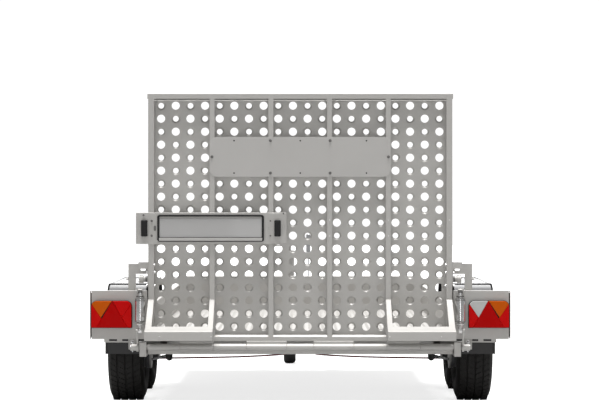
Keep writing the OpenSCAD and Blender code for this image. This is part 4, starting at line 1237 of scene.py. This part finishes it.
def axle_parts():
    """Brake back plate rims, axle bolts and seats, and the ends of the rear brake cables."""
    plates, ends, bolts = Shape(), Shape(), Shape()
    for end in ("rear", "front"):
        for side, sign in SIDES:
            lo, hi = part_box(f"wheel_{end}_{side}")
            y, z = (lo.y + hi.y) / 2, (lo.z + hi.z) / 2
            plates.spin([(0, 0.030), (0, 0.108), (0.003, 0.113), (0.008, 0.113), (0.008, 0.106),
                         (0.004, 0.100),
                         (0.004, 0.030)], (sign * PLATE_FACE_X, y, z), (sign, 0, 0), 56)
            for k in range(4):
                angle = math.radians(45 + 90 * k)
                bolts.bolt((sign * 0.806, y + 0.045 * math.cos(angle), z + 0.045 * math.sin(angle)),
                           (-sign, 0, 0), 0.008)
            tube_y = y + AXLE_AHEAD
            for u in (-0.046, 0.046):
                bolts.bolt((sign * 0.735, tube_y + u, 0.316), (0, 0, -1), 0.009)
            ends.box((min(sign * 0.700, sign * 0.770), tube_y - 0.065, 0.306),
                     (max(sign * 0.700, sign * 0.770), tube_y + 0.065, 0.3155))
            if end == "rear":
                ends.rod((sign * 0.803, y - 0.030, 0.222), (sign * 0.735, y + 0.006, 0.236), 0.007)
                ends.rod((sign * 0.756, y - 0.008, 0.2315), (sign * 0.728, y + 0.010, 0.2375), 0.0095, 6)
                ends.box((min(sign * 0.700, sign * 0.706), y + 0.004, 0.224),
                         (max(sign * 0.700, sign * 0.706), y + 0.060, 0.262))
    piece("brake_back_plates", plates, GALVANISED, "chassis", (), 0.0008)
    piece("axle_bolts", bolts, BOLT, "chassis", ())
    piece("axle_seats", ends, PLATED, "chassis", (), 0.001)


def chassis_welds():
    beads = Shape()
    for sign in (-1, 1):
        for z in (0.3745, 0.3935):
            beads.weld((sign * 0.767, MEMBER_START, z - 0.02), (sign * 0.80, MEMBER_START, z - 0.02), 0.002)
    for i in range(5):
        y = MEMBER_START + (i + 1) * MEMBER_PITCH
        for sign in (-1, 1):
            x = sign * MEMBER_FACE_X
            for edge in (-0.0005, 0.0405):
                beads.weld((x, y + edge, 0.320), (x, y + edge, 0.392), 0.003)
    piece("chassis_welds", beads, GALVANISED, "chassis", (), 0.0, 60)


# ---------------------------------------------------------------- drawbar, coupling and jockey details

def drawbar_parts():
    house_lo, house_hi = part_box("overrun_housing")
    mid_z = house_hi.z - 0.035
    bolts = Shape()
    for y in (house_lo.y + 0.045, 1.409):
        for x in (-0.070, 0.070):
            for v in (-0.014, 0.014):
                bolts.bolt((x, y + v, mid_z), (0, 0, 1), 0.0075)
    for y in (house_hi.y - 0.16, house_hi.y - 0.10):
        bolts.bolt((0.034, y, mid_z), (1, 0, 0), 0.010)
        bolts.bolt((-0.034, y, mid_z), (-1, 0, 0), 0.010)
    bolts.rod((0, house_hi.y - 0.20, mid_z + 0.033), (0, house_hi.y - 0.20, mid_z + 0.046), 0.006)
    piece("drawbar_bolts", bolts, BOLT, "chassis", ())


def jockey_parts():
    lo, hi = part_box("jockey_wheel")
    mid = (lo + hi) / 2
    half, outer = (hi.x - lo.x) / 2, (hi.z - lo.z) / 2
    tread = Shape()
    tread.spin([(-half + 0.012, outer * 0.62), (-half + 0.002, outer * 0.66), (-half, outer * 0.80),
                (-half + 0.006, outer * 0.93), (-half + 0.020, outer * 0.992), (0, outer),
                (half - 0.020, outer * 0.992),
                (half - 0.006, outer * 0.93), (half, outer * 0.80), (half - 0.002, outer * 0.66),
                (half - 0.012, outer * 0.62)], mid, "X", 64)
    piece("jockey_tyre", tread, BLACK_RUBBER, "jockey_roller", ("jockey_wheel",), 0.0, 40)
    hub = Shape()
    hub.spin([(-half + 0.014, outer * 0.64), (-half + 0.010, outer * 0.60), (-half + 0.022, outer * 0.50),
              (-half + 0.026, outer * 0.26), (-half + 0.006, outer * 0.22), (-half + 0.006, 0.0095),
              (half - 0.006, 0.0095), (half - 0.006, outer * 0.22), (half - 0.026, outer * 0.26),
              (half - 0.022, outer * 0.50), (half - 0.010, outer * 0.60), (half - 0.014, outer * 0.64)],
              mid, "X", 56)
    piece("jockey_hub", hub, RIM_PAINT, "jockey_roller", (), 0.0, 34)
    ends = Shape()
    fork_lo, fork_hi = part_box("jockey_fork")
    ends.bolt((fork_lo.x + 0.004, mid.y, mid.z), (-1, 0, 0), 0.009, False)
    ends.bolt((fork_hi.x - 0.004, mid.y, mid.z), (1, 0, 0), 0.009, False)
    piece("jockey_axle_nuts", ends, BOLT, "jockey_caster", ())
    clamp_lo, clamp_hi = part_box("jockey_clamp")
    screw = Shape()
    y, z = (clamp_lo.y + clamp_hi.y) / 2, (clamp_lo.z + clamp_hi.z) / 2
    screw.rod((clamp_lo.x - 0.030, y, z), (clamp_lo.x + 0.010, y, z), 0.007)
    screw.rod((clamp_lo.x - 0.028, y - 0.045, z - 0.010), (clamp_lo.x - 0.028, y + 0.045, z + 0.010), 0.005)
    for v in (-0.020, 0.020):
        screw.bolt((clamp_lo.x + 0.022, y - 0.038, z + v), (0, -1, 0), 0.007)
    piece("jockey_clamp_screw", screw, PLATED, "chassis", ())


name_plate_parts()
plate_holder_parts()
ramp_parts()
latch_parts()
shaft_parts()
tread_floor()
wall_parts()
board_ribs()
axle_parts()
chassis_welds()
drawbar_parts()
jockey_parts()
for side, sign in SIDES:
    canister(side, sign)
    lamp_box(side, sign)
    mudguard(side, sign)


# ---------------------------------------------------------------- carried-over pieces with softened edges

FINISHES = (
    (GALVANISED, 0.0015, ("side_member_left", "side_member_right", "cross_members", "rear_beam",
                          "side_wall_left", "side_wall_right", "front_board", "rear_post_left",
                          "rear_post_right",
                          "drawbar_left", "drawbar_right", "overrun_housing", "mudguard_stays",
                          "jockey_clamp", "jockey_tube", "axle_rear", "axle_front", "swing_arms",
                          "lashing_eyes",
                          "canister_pins", "plate_holder", "prop_feet", "latch_bolts", "hinge_shaft",
                          "jockey_fork")),
    (GALVANISED, 0.003, ("ramp_frame",)),
    (DECK_STEEL, 0.001, ("floor_sheet",)),
    (PLATED, 0.001, ("jockey_leg", "handbrake_lever")),
    (CASTING, 0.002, ("coupling_head",)),
    (BLACK_RUBBER, 0.002, ("gaiter", "buffers")),
    (PANEL, 0.0006, ("ramp_name_plate",)),
    (WHITE_PLATE, 0.0005, ("number_plate",)),
    (CABLE_SHEATH, 0.0, ("brake_cables",)),
)

for material, bevel, names in FINISHES:
    for name in names:
        refined(name, material, bevel)
